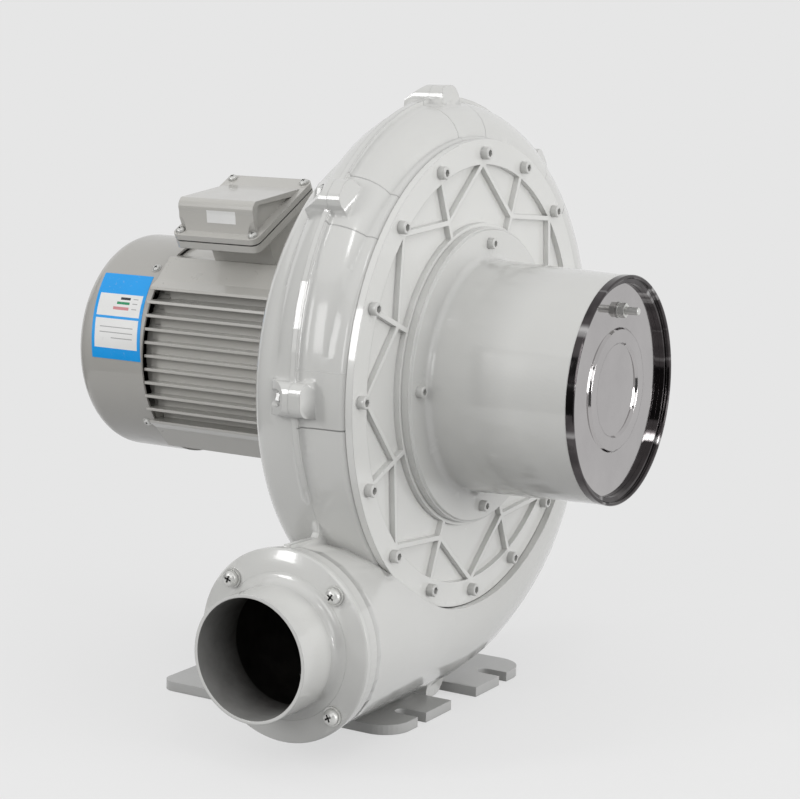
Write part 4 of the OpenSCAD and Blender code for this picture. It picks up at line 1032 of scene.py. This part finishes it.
class FAN_OT_plates(bpy.types.Operator):
    """Lay the printed plate on the cowl and the bare label on the terminal box"""

    bl_idname = "fan.plates"
    bl_label = "Plates"

    def execute(self, context):
        plates = context.scene.fan_plates
        blue = printed("blue_plate_printed", plates.ground, plates.panel, PLATE_BARS)
        white = printed("white_label_printed", plates.panel, plates.panel)
        lay_sheet("cowl_plate", "fan_cowl", cowl_net(plates), 0.0003, blue, "cowl_paint")
        lay_sheet("lid_label", "terminal_lid", lid_net(plates), 0.0002, white, "motor_paint")
        return {"FINISHED"}


class FAN_OT_stage(bpy.types.Operator):
    """Lay the floor, set the lights and place the camera"""

    bl_idname = "fan.stage"
    bl_label = "Stage"

    def execute(self, context):
        stage = context.scene.fan_stage
        self.lay_floor(stage)
        self.paint_world(context, stage)
        self.hang_lights(stage)
        self.hang_card(stage)
        self.place_camera(context, stage)
        context.scene.view_settings.view_transform = "Standard"
        return {"FINISHED"}

    def lay_floor(self, stage):
        """A pale round floor that fades into the background away from the fan."""
        shape = bmesh.new()
        bmesh.ops.create_circle(shape, cap_ends=True, segments=96, radius=stage.floor_size)
        mesh = mesh_of(shape, "floor")
        material, tree, surface = blank("floor_pale")
        glow = add(tree, "ShaderNodeEmission", Color=(*stage.backdrop, 1), Strength=1.0)
        seen = direct_rays(tree)
        bounced, shown = (0.15, 0.15, 0.15, 1), (0.92, 0.92, 0.92, 1)
        base = mixed(tree, seen, bounced, shown)
        fill(tree, surface, Base_Color=base, Roughness=0.7, Specular_IOR_Level=0.0)
        far = add(tree, "ShaderNodeVectorMath", {"operation": "LENGTH"})
        feed(tree, far.inputs[0], in_object(tree))
        fade_start, fade_end = 0.3, 0.8
        level = spread(tree, far.outputs["Value"], fade_start, fade_end, stage.shade, 1.0)
        both = add(tree, "ShaderNodeMixShader", Fac=times(tree, seen, level))
        tree.links.new(surface.outputs[0], both.inputs[1])
        tree.links.new(glow.outputs[0], both.inputs[2])
        show(tree, both)
        floor = object_of("floor", mesh, material)
        floor.location.z = -FLOOR_GAP

    def paint_world(self, context, stage):
        """Even light from all round, and a pale ground where the camera or a mirror sees it."""
        world = bpy.data.worlds.new("studio")
        context.scene.world = world
        world.use_nodes = True
        tree = world.node_tree
        tree.nodes.clear()
        soft = add(tree, "ShaderNodeBackground", Color=(1, 1, 1, 1), Strength=stage.sky)
        pale = add(tree, "ShaderNodeBackground", Color=(*stage.backdrop, 1), Strength=1.0)
        both = add(tree, "ShaderNodeMixShader", Fac=direct_rays(tree))
        tree.links.new(soft.outputs[0], both.inputs[1])
        tree.links.new(pale.outputs[0], both.inputs[2])
        end = tree.nodes.new("ShaderNodeOutputWorld")
        tree.links.new(both.outputs[0], end.inputs["Surface"])

    def hang_lights(self, stage):
        """Five soft boxes, each with its place, width and height, and power, all aimed at the fan."""
        boxes = (
            ("key_box", (1.9, -0.9, 0.95), (0.9, 0.9), stage.key_power),
            ("window_box", (-1.0, -1.7, 0.95), (0.35, 0.75), stage.window_power),
            ("top_box", (1.1, -1.1, 1.9), (0.25, 0.45), stage.top_power),
            ("front_box", (2.0, 0.4, 0.35), (0.9, 0.5), stage.front_power),
            ("outlet_box", (0.3, -2.4, 0.9), (0.9, 0.9), stage.outlet_power),
        )
        fan_middle = Vector((-0.03, 0, 0.25))
        for name, spot, size, energy in boxes:
            light = bpy.data.lights.new(name, "AREA")
            light.shape = "RECTANGLE"
            light.size, light.size_y = size
            light.energy = energy
            lamp = put(name, light)
            lamp.location = spot
            lamp.rotation_euler = (fan_middle - Vector(spot)).to_track_quat("-Z", "Y").to_euler()

    def hang_card(self, stage):
        """A dark curved card in front of the fan, seen only in mirrored rays."""
        outline = ((0.8, 0.01), (3.0, 0.55), (3.2, 2.4))
        first, whole, steps = -185, 160, 32
        turns = [math.radians(first + whole * step / steps) for step in range(steps + 1)]
        shape = bmesh.new()
        rings = []
        for reach, tall in outline:
            spots = [(reach * math.cos(turn), reach * math.sin(turn), tall) for turn in turns]
            rings.append([shape.verts.new(spot) for spot in spots])
        for lower, upper in zip(rings, rings[1:]):
            for step in range(steps):
                shape.faces.new((lower[step], lower[step + 1], upper[step + 1], upper[step]))
        mesh = mesh_of(shape, "dark_card")
        material, tree, surface = blank("card_black")
        level = (stage.card, stage.card, stage.card, 1)
        glow = add(tree, "ShaderNodeEmission", Color=level, Strength=1.0)
        show(tree, glow)
        card = object_of("dark_card", mesh, material)
        card.visible_camera = card.visible_diffuse = card.visible_shadow = card.visible_transmission = False

    def place_camera(self, context, stage):
        """The camera of the photograph, found from the round parts seen in it."""
        data = bpy.data.cameras.new("view")
        data.sensor_width = 36
        data.sensor_fit = "HORIZONTAL"
        data.lens = stage.lens
        data.clip_start = 0.05
        camera = put("view", data)
        turn, rise = stage.turn, stage.rise
        back = Vector((math.sin(turn) * math.cos(rise), -math.cos(turn) * math.cos(rise), math.sin(rise)))
        right = Vector((math.cos(turn), math.sin(turn), 0))
        up = back.cross(right)
        lean_right = math.cos(stage.roll) * right + math.sin(stage.roll) * up
        lean_up = math.cos(stage.roll) * up - math.sin(stage.roll) * right
        where = Vector(stage.aim) + back * stage.away
        axes = Matrix((lean_right, lean_up, back)).transposed()
        camera.matrix_world = Matrix.Translation(where) @ axes.to_4x4()
        context.scene.camera = camera


class FAN_PT_panel(bpy.types.Panel):
    """Sidebar list of the fan's pieces and sizes"""

    bl_idname = "FAN_PT_panel"
    bl_label = "Centrifugal Fan"
    bl_space_type = "VIEW_3D"
    bl_region_type = "UI"
    bl_category = "Fan"

    def draw(self, context):
        for step in STEPS:
            self.layout.operator(step.bl_idname)
        for group in GROUPS:
            box = self.layout.box()
            for name in GROUPS[group].__annotations__:
                box.prop(getattr(context.scene, group), name)


GROUPS = {
    "fan_paint": FanPaint, "fan_plates": FanPlates, "fan_fasteners": FanFasteners, "fan_stage": FanStage,
}
STEPS = (FAN_OT_paint, FAN_OT_castings, FAN_OT_fasteners, FAN_OT_plates, FAN_OT_stage)


def register():
    """Registers the sizes, the steps and the panel."""
    for name, group in GROUPS.items():
        bpy.utils.register_class(group)
        setattr(bpy.types.Scene, name, PointerProperty(type=group))
    for step in STEPS + (FAN_PT_panel,):
        bpy.utils.register_class(step)


def unregister():
    """Takes them out again."""
    for step in (FAN_PT_panel,) + STEPS[::-1]:
        bpy.utils.unregister_class(step)
    for name, group in reversed(GROUPS.items()):
        delattr(bpy.types.Scene, name)
        bpy.utils.unregister_class(group)


def main():
    """Dresses the fan."""
    register()
    for step in STEPS:
        family, verb = step.bl_idname.split(".")
        getattr(getattr(bpy.ops, family), verb)()
    bpy.context.view_layer.update()


if __name__ == "__main__":
    main()
